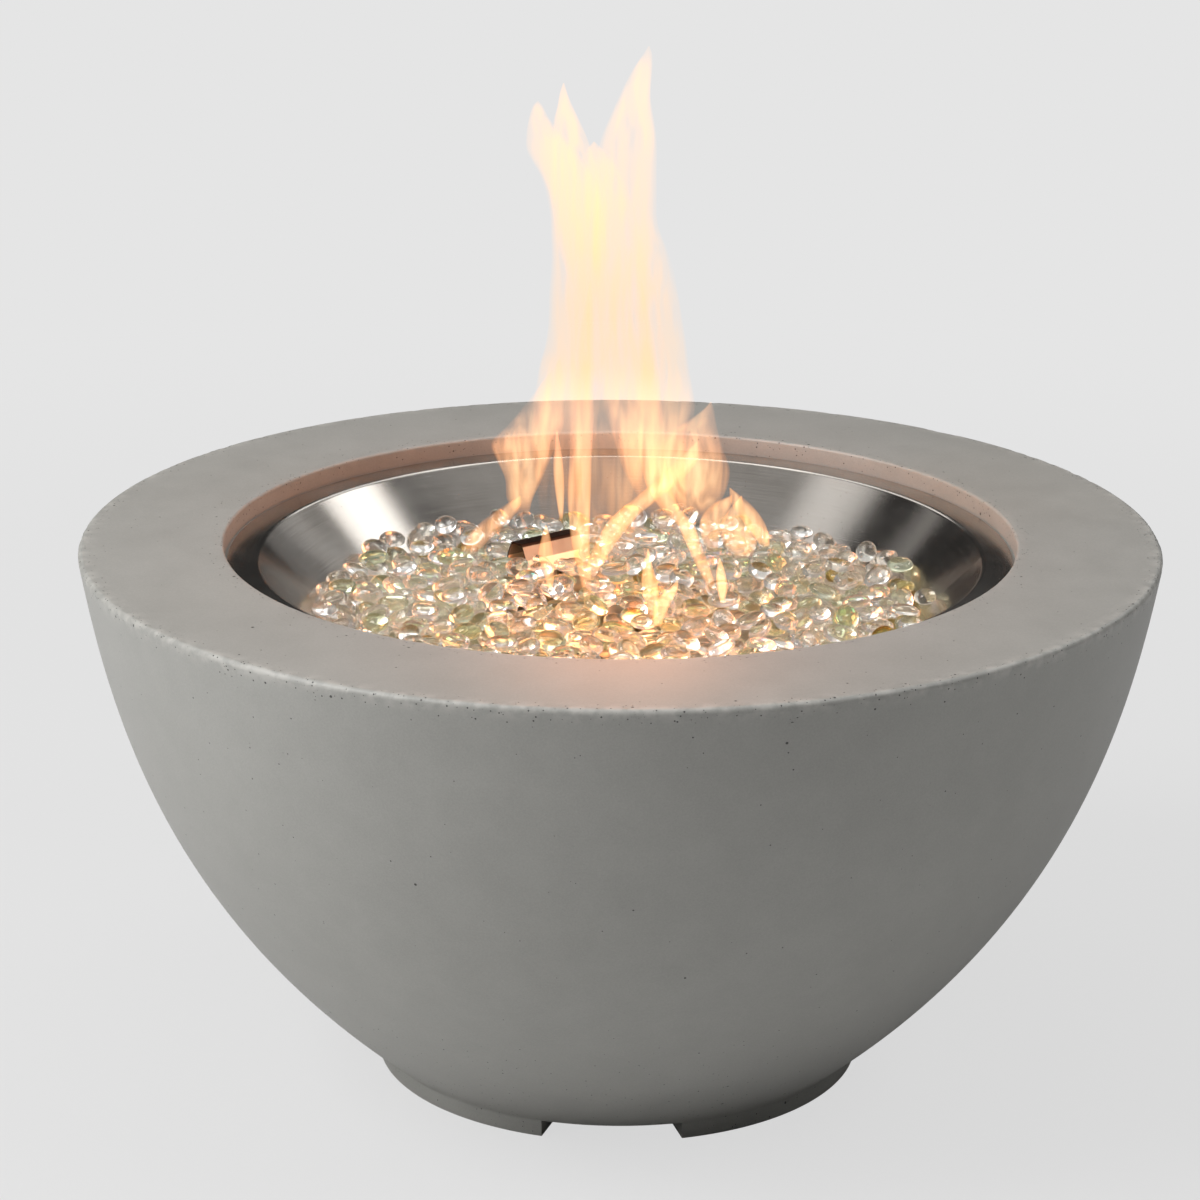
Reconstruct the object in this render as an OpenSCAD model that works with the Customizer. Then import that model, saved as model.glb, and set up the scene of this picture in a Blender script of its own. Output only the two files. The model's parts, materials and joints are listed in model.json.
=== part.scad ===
// Gas fire pit bowl: a cast concrete bowl with a drop-in burner pan and its gas train.
// Millimetres, +Z up. The floor is z = 0, the origin is under the middle of the bowl
// and the front is towards -Y. The control panel is at the back, towards +Y.

/* [Bowl] */
// Outside diameter of the rim
bowl_d = 737; // [700:1:780]
// Height from the floor to the rim
bowl_h = 376; // [360:1:400]
// Thickness of the cast wall
wall = 26; // [22:1:30]
// Lean of the wall from upright at the rim, degrees
rim_lean = 9.6; // [6:0.1:13]
// Upper handle of the wall's curve
rim_pull = 99; // [80:1:120]
// Rise of the wall from level at the foot, degrees
foot_rise = 39.2; // [35:0.1:44]
// Lower handle of the wall's curve
foot_pull = 202; // [180:1:220]
// Width of the flat rim
rim_w = 98; // [92:1:104]
// Thickness of the rim slab
rim_t = 42; // [36:1:48]
// Fillet block between the rim slab and the wall
haunch = 30; // [16:1:40]
// Rounding of the outer rim edge
rim_round = 5; // [2:0.5:8]
// Rounding of the inner rim edge
lip_round = 3; // [1:0.5:5]
// Depth of the pan ledge below the rim
ledge_drop = 14; // [10:0.5:18]
// Width of the pan ledge
ledge_w = 18; // [14:0.5:20]

/* [Foot] */
// Outside diameter of the foot ring
foot_d = 338; // [320:1:360]
// Height of the foot ring
foot_h = 12; // [9:0.5:16]
// Width of the foot ring
foot_w = 50; // [40:1:60]
// Thickness of the bowl's base over the foot
base_t = 26; // [22:1:30]
// Diameter of the hole in the base
base_hole_d = 190; // [150:1:210]
// Width of each notch in the foot ring, degrees
notch_angle = 32.6; // [20:0.1:40]

/* [Burner pan] */
// Thickness of the pan's sheet
pan_t = 1.5; // [1.2:0.1:2]
// Gap between the flange and the opening's wall
flange_gap = 2.5; // [1:0.1:4]
// Width of the flange
flange_w = 20; // [19:0.5:22]
// Slope of the pan's side from level, degrees
side_slope = 45; // [42:1:48]
// Depth of the pan from its flange to its floor
pan_depth = 68; // [64:1:72]
// Radius of the rolled lip
roll_r = 5; // [3:0.5:7]
// Radius between the side and the floor
sump_r = 8; // [5:0.5:12]
// Diameter of each weep hole
weep_d = 6; // [4:0.5:8]
// Number of weep holes
weep_n = 6; // [4:1:8]
// Distance of the weep holes from the middle
weep_at = 140; // [128:1:150]

/* [Burner] */
// Radius of the burner ring at the middle of its tube
ring_r = 88; // [84:1:90]
// Diameter of the ring's tube
ring_tube_d = 19; // [16:0.5:20]
// Diameter of the cross tube
cross_d = 16; // [12:0.5:16]
// Thickness of the burner's tubes
tube_t = 1.2; // [1:0.1:1.6]
// Height of the ring above the pan floor
ring_lift = 6; // [5:0.5:8]
// Diameter of a flame port
port_d = 2.4; // [1.5:0.1:3]
// Number of flame ports
port_n = 28; // [16:2:36]
// Diameter of the burner's hub
hub_d = 30; // [28:1:32]
// Height of the hub
hub_h = 17; // [16:0.5:19]
// Thickness of the hub's closed top
hub_roof = 3; // [2:0.5:4]
// Width of a saddle along the ring's radius
saddle_l = 27; // [25:1:28]
// Thickness of a saddle's strip
saddle_t = 2; // [1.5:0.1:2.5]
// Length of a saddle's foot along the ring
saddle_foot = 14; // [13:0.5:16]
// Margin of a saddle's foot past its screw's head
saddle_edge = 1; // [0.5:0.1:2]

/* [Gas nipple] */
// Outside diameter of the nipple's thread
nipple_d = 21.3; // [20:0.1:22]
// Bore of the nipple
nipple_bore = 15.6; // [14:0.1:16]
// Length of the nipple below the pan
nipple_drop = 30; // [28:1:36]
// Thickness of a locknut
locknut_t = 6; // [5:0.5:7]
// Width across the flats of a locknut
locknut_af = 28; // [27:0.5:29]
// Thickness of a flat washer
washer_t = 1.5; // [1:0.1:2]
// Diameter of a flat washer
washer_d = 34; // [32:1:35]

/* [Mixer] */
// Outside diameter of the elbow's body
elbow_d = 27; // [26:0.5:28]
// Outside diameter of the elbow's socket bands
band_d = 31; // [30:0.5:33]
// Length of each arm of the elbow from its corner
elbow_arm = 26; // [25:0.5:30]
// Depth of thread in a socket
socket_l = 13; // [11:0.5:15]
// Length of a socket's band
band_l = 7.8; // [6:0.1:10]
// Outside diameter of the mixer's barrel
barrel_d = 26; // [25:0.5:28]
// Length of the mixer's barrel
barrel_l = 58; // [52:1:64]
// Bore of the elbow and the mixer
mixer_bore = 16; // [14:0.5:17]
// Diameter of an air window
window_d = 9; // [7:0.5:10]
// Length of the air shutter
shutter_l = 24; // [20:1:28]
// Thickness of the air shutter
shutter_t = 1.2; // [1:0.1:1.6]
// Diameter of the shutter screw
shutter_screw_d = 3; // [2.5:0.1:3.5]
// Diameter of the shutter screw's head
shutter_head_d = 6; // [5:0.1:6.5]
// Height of the shutter screw's head
shutter_head_h = 2.4; // [2:0.1:3]
// Distance of the shutter screw from the shutter's end
shutter_inset = 4; // [3.5:0.1:4.5]
// Diameter of the orifice's thread
orifice_d = 12; // [11:0.5:13]
// Length of the orifice's thread
orifice_l = 8; // [6:0.5:10]
// Width across the flats of the orifice
orifice_af = 17; // [16:0.5:18]
// Diameter of the gas jet
jet_d = 1.4; // [0.8:0.1:2]

/* [Flare fittings] */
// Outside diameter of a flare thread
flare_d = 15.9; // [15:0.1:16.5]
// Length of a flare thread
flare_l = 12; // [10:0.5:14]
// Thickness of a hexagon between two threads
hex_t = 6; // [5:0.5:8]
// Width across the flats of a flare nut
flare_af = 20; // [19:0.5:21]
// Length of a flare nut
flare_nut_l = 18; // [17:0.5:20]
// Gap between a flare nut and the hexagon behind it
nut_stand = 2; // [1:0.5:3]
// Diameter of the connector tube
connector_d = 10; // [8:0.5:11]
// Length of the inlet's flare thread with its cone
inlet_l = 14; // [12:0.5:16]
// Depth of the inlet fitting's thread in the valve
inlet_seat = 6; // [5:0.5:8]

/* [Igniter under the hood] */
// Distance of the hood from the middle along X
hood_x = -55.3; // [-57:0.1:-54]
// Distance of the hood from the middle along Y
hood_y = 103; // [102:0.1:106]
// Turn of the hood from the X axis, degrees
hood_turn = 40.8; // [38:0.1:43]
// Length of the hood
hood_l = 52; // [50:1:56]
// Width of the hood between its legs' outer faces
hood_w = 22; // [21:0.5:24]
// Width of the hood's flat top
hood_top_w = 12; // [10:0.5:14]
// Height of the hood above the pan floor
hood_h = 47.5; // [45:0.5:50]
// Drop from the top to where the legs turn upright
hood_shoulder = 11.3; // [9:0.1:13]
// Thickness of the hood's sheet
hood_t = 1.2; // [1:0.1:1.5]
// Width of each foot flange
hood_foot = 10; // [10:0.5:11]
// Radius inside the hood's foot bends
hood_bend = 1; // [0.5:0.1:1.5]
// Distance of the hood's screws from its ends
hood_screw_inset = 8; // [6:0.5:10]
// Length of the flame window in the hood's leg
window_l = 26; // [20:1:30]
// Height of the flame window in the hood's leg
window_h = 14.5; // [10:0.5:18]
// Length of the igniter bracket
bracket_l = 44; // [42:1:48]
// Thickness of the igniter bracket
bracket_t = 2; // [1.5:0.1:2.5]
// Distance of the electrode and the thermocouple from the bracket's middle
probe_at = 13; // [12.5:0.1:14]
// Diameter of the electrode's ceramic
ceramic_d = 8; // [7:0.1:8.5]
// Diameter of the ceramic's collar
collar_d = 10; // [9:0.1:11]
// Thickness of the ceramic's collar
collar_t = 3; // [2:0.5:4]
// Height of the ceramic above the pan floor
ceramic_up = 22; // [18:1:26]
// Length of the ceramic below the pan floor
ceramic_down = 14; // [12:1:16]
// Diameter of the electrode's rod
rod_d = 2.4; // [2:0.1:3]
// Height of the spark gap above the pan floor
spark_h = 34; // [28:1:35]
// Gap between the rod's tip and the hood's leg
spark_gap = 4; // [3:0.5:5]
// Diameter of the thermocouple's threaded body
couple_d = 6; // [5:0.1:6.5]
// Diameter of the thermocouple's tip
couple_tip_d = 4.4; // [3.6:0.1:5]
// Height of the threaded body above the pan floor
couple_up = 10; // [8:0.5:14]
// Length of the threaded body below the pan floor
couple_down = 12; // [10:0.5:14]
// Width across the flats of the thermocouple's nut
couple_af = 10; // [9.5:0.1:10.5]
// Thickness of the thermocouple's nut
couple_nut_t = 4; // [3:0.5:5]

/* [Screws] */
// Diameter of the pan and panel screws
screw_d = 4; // [3.5:0.1:4.2]
// Length of a pan screw under its head
screw_l = 12; // [10:0.5:14]
// Diameter of a screw's head
head_d = 7.6; // [7:0.1:8]
// Height of a screw's head
head_h = 2.4; // [2:0.1:2.6]
// Bevel of a screw's head
head_bevel = 0.8; // [0.4:0.1:1]
// Width of the slots in a screw's head
slot_w = 1.1; // [0.8:0.1:1.4]
// Width across the flats of a pan nut
screw_af = 7; // [6.8:0.1:8]
// Thickness of a pan nut
screw_nut_t = 3.2; // [2.4:0.1:4]

/* [Control panel] */
// Height of the panel's middle above the floor
panel_z = 192; // [180:1:204]
// Width of the panel
panel_w = 140; // [134:1:148]
// Height of the panel
panel_h = 76; // [74:1:80]
// Thickness of the panel
panel_t = 1.5; // [1.2:0.1:2]
// Rounding of the panel's corners
panel_round = 6; // [3:0.5:8]
// Depth of the panel's face below the wall's surface
panel_sink = 10.5; // [9.5:0.1:11]
// Gap round the panel in its recess
panel_gap = 2; // [1:0.1:3]
// Width of the recess's ledge behind the panel
panel_ledge = 12; // [11:0.5:13]
// Distance of each screw from the panel's edge
screw_inset = 6; // [5.5:0.1:7]
// Diameter of a cast-in brass insert
insert_d = 6.4; // [6:0.1:7]
// Length of a cast-in brass insert
insert_l = 10; // [8:0.5:12]
// Distance of the knob and the button from the panel's middle
control_at = 34; // [32:0.5:36]

/* [Gas valve] */
// Diameter of the valve's body
valve_d = 30; // [28:0.5:32]
// Length of the valve behind the panel's face
valve_l = 50; // [48:1:54]
// Depth of the ports behind the panel's face
port_depth = 38; // [36:0.5:40]
// Diameter of a port boss
boss_d = 18; // [17:0.5:19]
// Reach of a port boss from the valve's axis
boss_l = 22; // [20:0.5:24]
// Bore of a port
port_bore = 8; // [6:0.5:9]
// Diameter of the bonnet's thread
bonnet_d = 13; // [12:0.5:14]
// Height of the bonnet above the panel
bonnet_h = 6.5; // [6:0.5:7]
// Width across the flats of the valve's nut
valve_af = 18; // [17:0.5:19]
// Thickness of the valve's nut
valve_nut_t = 4; // [3.5:0.1:4.5]
// Diameter of the valve's stem
stem_d = 8; // [7:0.1:8.5]
// Depth of the stem's end behind the panel
stem_depth = 24; // [22:0.5:26]
// Diameter of the plunger
plunger_d = 4; // [3.5:0.1:4.5]
// Reach of the plunger past the end of the valve's body
plunger_reach = 3; // [2:0.5:4]
// Distance of the stem's flat from its axis
stem_flat = 2.6; // [2:0.1:3.2]
// Travel of the knob when it is pushed in
push_travel = 4; // [3:0.1:4.5]
// Diameter of the magnet unit
magnet_d = 21; // [19:0.5:23]
// Length of the magnet unit
magnet_l = 26; // [24:0.5:30]
// Depth of the well in the magnet unit for the plunger
magnet_well = 14; // [10:0.5:16]
// Width across the flats of the thermocouple lead's union
union_af = 12; // [10:0.5:13]
// Length of the thermocouple lead's union
union_l = 8; // [7:0.5:10]

/* [Knob] */
// Diameter of the knob's skirt
knob_d = 42; // [38:1:46]
// Height of the knob
knob_h = 24; // [22:0.5:26]
// Diameter of the knob's crown
crown_d = 34; // [30:1:38]
// Thickness of the skirt
skirt_t = 5; // [4:0.5:6]
// Height of the cone between the skirt and the grip
skirt_rise = 3; // [2:0.5:4]
// Width of the step round the skirt's top
skirt_step = 1; // [0.5:0.1:1.5]
// Width of the knob's grip
grip_w = 13; // [12:0.5:15]
// Thickness of the knob over its stem
knob_roof = 6; // [5:0.5:8]
// Gap under the knob when it is pushed in
knob_gap = 0.6; // [0.5:0.1:1]
// Width of the knob's pointer line
pointer_w = 1.2; // [0.8:0.1:1.6]
// Length of the knob's pointer line
pointer_l = 9; // [6:0.5:10]
// Diameter of the bezel
bezel_d = 50; // [48:0.5:54]
// Thickness of the bezel
bezel_t = 1; // [0.8:0.1:1.4]
// Width of the bezel's marks
mark_w = 0.8; // [0.6:0.1:1.2]
// Depth of the bezel's marks
mark_depth = 0.3; // [0.2:0.05:0.5]

/* [Push-button igniter] */
// Diameter of the igniter's barrel
igniter_d = 22; // [21:0.5:23]
// Length of the igniter's barrel behind the panel's face
igniter_l = 68; // [67:0.5:72]
// Diameter of the igniter's flange
igniter_flange_d = 31; // [30:0.5:33]
// Thickness of the flange
igniter_flange_t = 2; // [1.5:0.1:2.5]
// Width across the flats of the igniter's nut
igniter_af = 30; // [28:0.5:32]
// Thickness of the igniter's nut
igniter_nut_t = 5; // [4:0.5:6]
// Diameter of the twist-off cap
cap_d = 28; // [26:0.5:30]
// Thickness of the cap's head
cap_t = 5.7; // [5:0.1:7]
// Diameter of the cap's spigot
spigot_d = 18.9; // [18:0.1:19]
// Length of the cap's spigot
spigot_l = 8.3; // [8:0.1:8.6]
// Diameter of the button
button_d = 12; // [10:0.1:12.5]
// Height of the button above the cap
button_up = 3.6; // [3.4:0.1:5]
// Travel of the button
button_travel = 3; // [2:0.1:3]
// Diameter of the button's shoulder
shoulder_d = 15; // [14:0.1:16]
// Thickness of the button's shoulder
shoulder_t = 1.7; // [1.5:0.1:2]
// Depth of the button's shoulder inside the cap's spigot
shoulder_inset = 1; // [0.5:0.1:1.5]
// Number of grip flutes round the cap
flutes = 12; // [8:1:16]
// Diameter of a grip flute
flute_d = 2.4; // [2:0.1:3]
// Diameter of the battery
cell_d = 14.3; // [14:0.1:14.5]
// Length of the battery with its terminal
cell_l = 50.5; // [49:0.5:51]
// Length of the contact spring's room
spring_room = 5; // [4:0.5:6]
// Diameter of the contact spring's wire
spring_wire = 0.8; // [0.6:0.1:1]
// Diameter of the lead post
post_d = 4; // [3:0.1:5]
// Length of the lead post
post_l = 6; // [5:0.5:8]

/* [Leads] */
// Diameter of the ignition lead
lead_d = 3; // [2.5:0.1:3.5]
// Diameter of the thermocouple lead
capillary_d = 2; // [1.6:0.1:2.5]
// Diameter of a lead's boot
boot_d = 8; // [7:0.1:10]
// Length of a lead's boot
boot_l = 13; // [11:0.5:15]

/* [Fire glass] */
// Cover of glass bedding over the burner ring
bed_cover = 3; // [2:0.5:4]
// Greatest diameter of a gem
gem_d_max = 19; // [17:0.1:22]
// Smallest diameter of a gem
gem_d_min = 16; // [14:0.1:17]
// Greatest thickness of a gem
gem_t_max = 11; // [9:0.1:12]
// Smallest thickness of a gem
gem_t_min = 8.5; // [7:0.1:9]
// Greatest tilt of a gem, degrees
gem_tilt = 16; // [0:1:20]

/* [Fits] */
// Gap between a thread and its hole
thread_gap = 0.05; // [0.02:0.01:0.1]
// Running gap round a shaft
run_gap = 0.05; // [0.02:0.01:0.1]
// Gap round a screw or a pipe in sheet metal
hole_gap = 0.3; // [0.2:0.05:0.5]
// Gap round pieces that only lie near each other
rest_gap = 0.3; // [0.2:0.05:0.5]

/* [Hidden] */
$fn = 64;

// Overlap of a cutter past the face that it cuts
past = 1;

// The wall's outer curve, from the rim at t = 0 to the foot at t = 1
rim_p = [bowl_d / 2 + rim_round * (1 / tan(45 - rim_lean / 2) - 1), bowl_h];
foot_p = [foot_d / 2, foot_h];
rim_h = rim_p - rim_pull * [sin(rim_lean), cos(rim_lean)];
foot_hd = foot_p + foot_pull * [cos(foot_rise), sin(foot_rise)];
function curve(t) =
    pow(1 - t, 3) * rim_p + 3 * pow(1 - t, 2) * t * rim_h
    + 3 * (1 - t) * pow(t, 2) * foot_hd + pow(t, 3) * foot_p;
function slope(t) =
    3 * pow(1 - t, 2) * (rim_h - rim_p) + 6 * (1 - t) * t * (foot_hd - rim_h)
    + 3 * pow(t, 2) * (foot_p - foot_hd);
function unit(v) = v / norm(v);
function outward(t) = let (s = unit(slope(t))) [-s.y, s.x];
function curve_at(z, a = 0, b = 1, n = 24) =
    let (m = (a + b) / 2)
    n == 0 ? m : curve(m).y > z ? curve_at(z, m, b, n - 1) : curve_at(z, a, m, n - 1);

// A bend of radius r at p1, as points with their left-hand normals
function turned(v, a) = [v.x * cos(a) - v.y * sin(a), v.x * sin(a) + v.y * cos(a)];
function bend(p0, p1, p2, r, n = 6) =
    let (
        u = unit(p0 - p1),
        v = unit(p2 - p1),
        half = acos(u * v) / 2,
        c = p1 + unit(u + v) * r / sin(half),
        s = p1 + u * r / tan(half) - c,
        turn = cross(v, u) > 0 ? 1 : -1
    )
    [for (i = [0:n]) let (q = turned(s, turn * (180 - 2 * half) * i / n)) [c + q, -turn * unit(q)]];
function points(path) = [for (e = path) e[0]];
function shifted(path, d) = [for (e = path) e[0] + d * e[1]];
function reversed(v) = [for (i = [len(v) - 1:-1:0]) v[i]];

// The outline of a sheet of thickness t on the left of a path, or on its right if t is negative
function sheet(path, t) = concat(points(path), reversed(shifted(path, t)));

// The bowl's levels and radii
mouth_r = bowl_d / 2 - rim_w;
hole_r = mouth_r - ledge_w;
ledge_z = bowl_h - ledge_drop;
ceiling_z = bowl_h - rim_t;
base_z = foot_h + base_t;
curve_n = 40;

// Where the rim's rounding has given way to the wall's curve, as the curve's own parameter
curve_start = 1.3 * rim_round / (3 * rim_pull);

// The burner pan's upper face, from the flange's edge to the middle of the floor
flange_z = ledge_z + pan_t;
flange_r = mouth_r - flange_gap;
lip_r = flange_r - flange_w;
floor_z = flange_z - pan_depth;
floor_r = lip_r - pan_depth / tan(side_slope);
under_z = floor_z - pan_t;
pan_path = concat(
    [[[flange_r, flange_z], [0, -1]]],
    bend([flange_r, flange_z], [lip_r, flange_z], [floor_r, floor_z], roll_r),
    bend([lip_r, flange_z], [floor_r, floor_z], [0, floor_z], sump_r),
    [[[0, floor_z], [0, -1]]]
);
function side_r(z) = floor_r + (z - floor_z) / tan(side_slope);

// The burner and the gas nipple
ring_z = floor_z + ring_lift + ring_tube_d / 2;
hub_z = floor_z + washer_t + locknut_t + rest_gap;
saddle_angles = [30, 150, 270];
thread_room = 2;
nipple_top = hub_z + hub_h - hub_roof - thread_room;
nipple_end = under_z - nipple_drop;
elbow_z = nipple_end - rest_gap - (elbow_arm - socket_l);
mixer_y = elbow_arm + rest_gap;
window_y = mixer_y + barrel_l / 2;
orifice_y = mixer_y + barrel_l;
flare_tip = 3;

// The screws through the pan floor: places in the burner's own frame and in the hood's frame
saddle_screw_r = ring_r + saddle_l / 2 + head_d / 2 + rest_gap;
saddle_reach = saddle_l + rest_gap + head_d + saddle_edge;
hood_screw_x = hood_l / 2 - hood_screw_inset;
hood_screw_y = hood_w / 2 + (hood_foot + hood_bend) / 2;

// The control panel's frame: its face's middle, its outward direction and its upward direction
panel_at = curve_at(panel_z);
panel_out = outward(panel_at);
panel_lean = atan2(-panel_out.y, panel_out.x);
face = [0, curve(panel_at).x - panel_sink * panel_out.x, curve(panel_at).y - panel_sink * panel_out.y];
out = [0, cos(panel_lean), -sin(panel_lean)];
up = [0, sin(panel_lean), cos(panel_lean)];
function from_panel(p) = face + [-p.x, 0, 0] + p.y * up + p.z * out;
valve_x = -control_at;
igniter_x = control_at;
magnet_end = -valve_l - magnet_l;
knob_z = bezel_t + push_travel + knob_gap;
knob_hollow = bonnet_h + push_travel + knob_gap - knob_z;
knob_bore = valve_af / cos(30) + 4;
stem_top = knob_z + knob_h - knob_roof;
plunger_head = 2;
plunger_end = -valve_l - plunger_reach;
plunger_room = stem_depth + plunger_head + push_travel + 1;

// The igniter, from its panel's face: the cap's seat, the button's shelf in the cap, the battery's top
cap_z = igniter_flange_t + rest_gap;
shelf_z = cap_z - spigot_l + shoulder_inset + shoulder_t;
cell_top = shelf_z - shoulder_t - button_travel - rest_gap;

// The fire glass, on a golden spiral: its angle, and the least distance between places at a pitch of 1
golden = 137.508;
golden_least = 1.546;
bed_z = ring_z + ring_tube_d / 2 + bed_cover;
gem_pitch = (gem_d_max + rest_gap) / golden_least;
gem_field = side_r(bed_z) - gem_d_max / 2 - rest_gap * 2;
gem_n = floor(pow(gem_field / gem_pitch, 2) - 0.5);
gem_size = rands(gem_d_min / 2, gem_d_max / 2, gem_n, 11);
gem_thick = rands(gem_t_min / 2, gem_t_max / 2, gem_n, 12);
gem_lean = rands(0, gem_tilt, gem_n, 13);
gem_face = rands(0, 360, gem_n, 14);
clear_share = 78;
green_share = 95;
whole_share = 100;
gem_kind = rands(0, whole_share, gem_n, 15);
function gem_place(i) = gem_pitch * sqrt(i + 0.5) * [cos(i * golden), sin(i * golden)];
function in_hood(p) = turned(p - [hood_x, hood_y], -hood_turn);
function clear_of_hood(p, r) =
    let (q = in_hood(p))
    abs(q.x) > hood_l / 2 + r + rest_gap || abs(q.y) > hood_w / 2 + r + rest_gap;

// Frames
module on_panel(x = 0, y = 0, z = 0)
    translate(face) rotate([-90 - panel_lean, 0, 0]) rotate([0, 0, 180]) translate([x, y, z]) children();
module on_hood(x = 0, y = 0, z = 0)
    translate([hood_x, hood_y, floor_z]) rotate([0, 0, hood_turn]) translate([x, y, z]) children();
module along_y(y, z) translate([0, y, z]) rotate([-90, 0, 0]) children();

// Shapes that repeat
module tube(d, bore, h) difference() {
    cylinder(d = d, h = h);
    translate([0, 0, -past]) cylinder(d = bore, h = h + 2 * past);
}
module hex(af, t) cylinder(d = af / cos(30), h = t, $fn = 6);
module hex_nut(af, t, bore) difference() {
    hex(af, t);
    translate([0, 0, -past]) cylinder(d = bore, h = t + 2 * past);
}
module rounded_plate(w, h, r, t) linear_extrude(t) {
    square([w - 2 * r, h], center = true);
    square([w, h - 2 * r], center = true);
    for (x = [-1, 1], y = [-1, 1]) translate([x * (w / 2 - r), y * (h / 2 - r)]) circle(r);
}
module screw(l) {
    slot_l = head_d - 2 * head_bevel - 2 * slot_w * 0.6;
    difference() {
        rotate_extrude() polygon([
            [0, -l], [screw_d / 2, -l], [screw_d / 2, 0], [head_d / 2, 0],
            [head_d / 2, head_h - head_bevel], [head_d / 2 - head_bevel, head_h], [0, head_h]
        ]);
        for (a = [0, 90]) rotate(a)
            translate([0, 0, head_h]) cube([slot_l, slot_w, 2 * head_bevel], center = true);
    }
}

// A tube swept along a route: a ring of sides at each point, and two end faces
function between(a, b, c, d, t) =
    0.5 * (2 * b + (c - a) * t + (2 * a - 5 * b + 4 * c - d) * pow(t, 2)
    + (3 * b - a - 3 * c + d) * pow(t, 3));
function spline(p, k) = concat(
    [for (i = [0:len(p) - 2]) for (j = [0:k - 1])
        between(p[max(i - 1, 0)], p[i], p[i + 1], p[min(i + 2, len(p) - 1)], j / k)],
    [p[len(p) - 1]]
);
function heading(p, i) = unit(p[min(i + 1, len(p) - 1)] - p[max(i - 1, 0)]);
function square_to(v, d) = unit(v - (v * d) * d);
function ring_normals(p, first) = [
    for (i = 0, n = square_to(first, heading(p, 0)); i < len(p);
         i = i + 1, n = i < len(p) ? square_to(n, heading(p, i)) : n) n
];
module sweep(p, d, sides, first) {
    normals = ring_normals(p, first);
    last = len(p) - 1;
    verts = [for (i = [0:last]) let (h = heading(p, i), n = normals[i], b = cross(h, n))
        for (s = [0:sides - 1]) p[i] + d / 2 * (cos(360 * s / sides) * n + sin(360 * s / sides) * b)];
    walls = [for (i = [0:last - 1]) for (s = [0:sides - 1])
        let (a = i * sides + s, b = i * sides + (s + 1) % sides)
        each [[a, a + sides, b], [b, a + sides, b + sides]]];
    ends = [[for (s = [0:sides - 1]) s], [for (s = [sides - 1:-1:0]) last * sides + s]];
    polyhedron(verts, concat(walls, ends));
}

// Bowl
module bowl_section() {
    outer = concat(
        [[0, bowl_h]],
        points(bend([0, bowl_h], rim_p, curve(curve_start), rim_round)),
        [for (i = [0:curve_n]) curve(curve_start + (1 - curve_start) * i / curve_n)],
        [[foot_d / 2, 0], [foot_d / 2 - foot_w, 0], [foot_d / 2 - foot_w, foot_h], [0, foot_h]]
    );
    inner = concat(
        [[0, bowl_h]],
        [for (i = [0:curve_n]) curve(i / curve_n) - wall * outward(i / curve_n)],
        [[0, foot_h]]
    );
    inside_r = bowl_d / 2 - wall;
    room = [
        [0, base_z], [bowl_d, base_z], [bowl_d, ceiling_z - haunch],
        [inside_r, ceiling_z - haunch], [inside_r - haunch, ceiling_z], [0, ceiling_z]
    ];
    mouth = concat(
        [[0, ledge_z], [mouth_r, ledge_z]],
        [for (i = [0:6]) let (a = 180 - 15 * i)
            [mouth_r + lip_round, bowl_h - lip_round] + lip_round * [cos(a), sin(a)]],
        [[mouth_r + lip_round, bowl_h + past], [0, bowl_h + past]]
    );
    difference() {
        polygon(outer);
        intersection() {
            polygon(inner);
            polygon(room);
        }
        polygon(mouth);
        translate([0, ceiling_z - past]) square([hole_r, ledge_z - ceiling_z + 2 * past]);
        square([base_hole_d / 2, base_z + past]);
    }
}
module foot_notch() {
    reach = foot_d;
    half = notch_angle / 2;
    translate([0, 0, -past]) linear_extrude(foot_h + past)
        polygon([[0, 0], reach * [-sin(half), -cos(half)], reach * [sin(half), -cos(half)]]);
}
module at_panel_screws(z = 0)
    for (x = [-1, 1], y = [-1, 1])
        on_panel(x * (panel_w / 2 - screw_inset), y * (panel_h / 2 - screw_inset), z) children();
module bowl_shell() color("#a5a39d") difference() {
    rotate_extrude() bowl_section();
    for (a = [0, 180]) rotate(a) foot_notch();
    on_panel(0, 0, -panel_t)
        rounded_plate(panel_w + 2 * panel_gap, panel_h + 2 * panel_gap, panel_round + panel_gap, wall);
    on_panel(0, 0, -2 * wall)
        rounded_plate(panel_w - 2 * panel_ledge, panel_h - 2 * panel_ledge, panel_round, 2 * wall);
    at_panel_screws(-panel_t - insert_l - rest_gap)
        cylinder(d = insert_d + 2 * thread_gap, h = insert_l + rest_gap + past);
}
module panel_inserts() color("#b98d3e")
    at_panel_screws(-panel_t - insert_l) tube(insert_d, screw_d + 2 * thread_gap, insert_l);

// Burner pan
module at_pan_screws(z) {
    for (a = saddle_angles) rotate(a) translate([saddle_screw_r, 0, floor_z + z]) children();
    for (x = [-1, 1], y = [-1, 1]) on_hood(x * hood_screw_x, y * hood_screw_y, z) children();
    on_hood(0, 0, z) children();
}
module burner_pan() color("#c2c4c6") difference() {
    rotate_extrude() polygon(sheet(pan_path, pan_t));
    translate([0, 0, under_z - past]) cylinder(d = nipple_d + 2 * hole_gap, h = pan_t + 2 * past);
    for (i = [0:weep_n - 1]) rotate(360 * (i + 0.5) / weep_n)
        translate([weep_at, 0, under_z - past]) cylinder(d = weep_d, h = pan_t + 2 * past);
    at_pan_screws(-pan_t - past) cylinder(d = screw_d + 2 * hole_gap, h = pan_t + 2 * past);
    on_hood(-probe_at, 0, -pan_t - past) cylinder(d = ceramic_d + 2 * hole_gap, h = pan_t + 2 * past);
    on_hood(probe_at, 0, -pan_t - past) cylinder(d = couple_d + 2 * hole_gap, h = pan_t + 2 * past);
}

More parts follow.
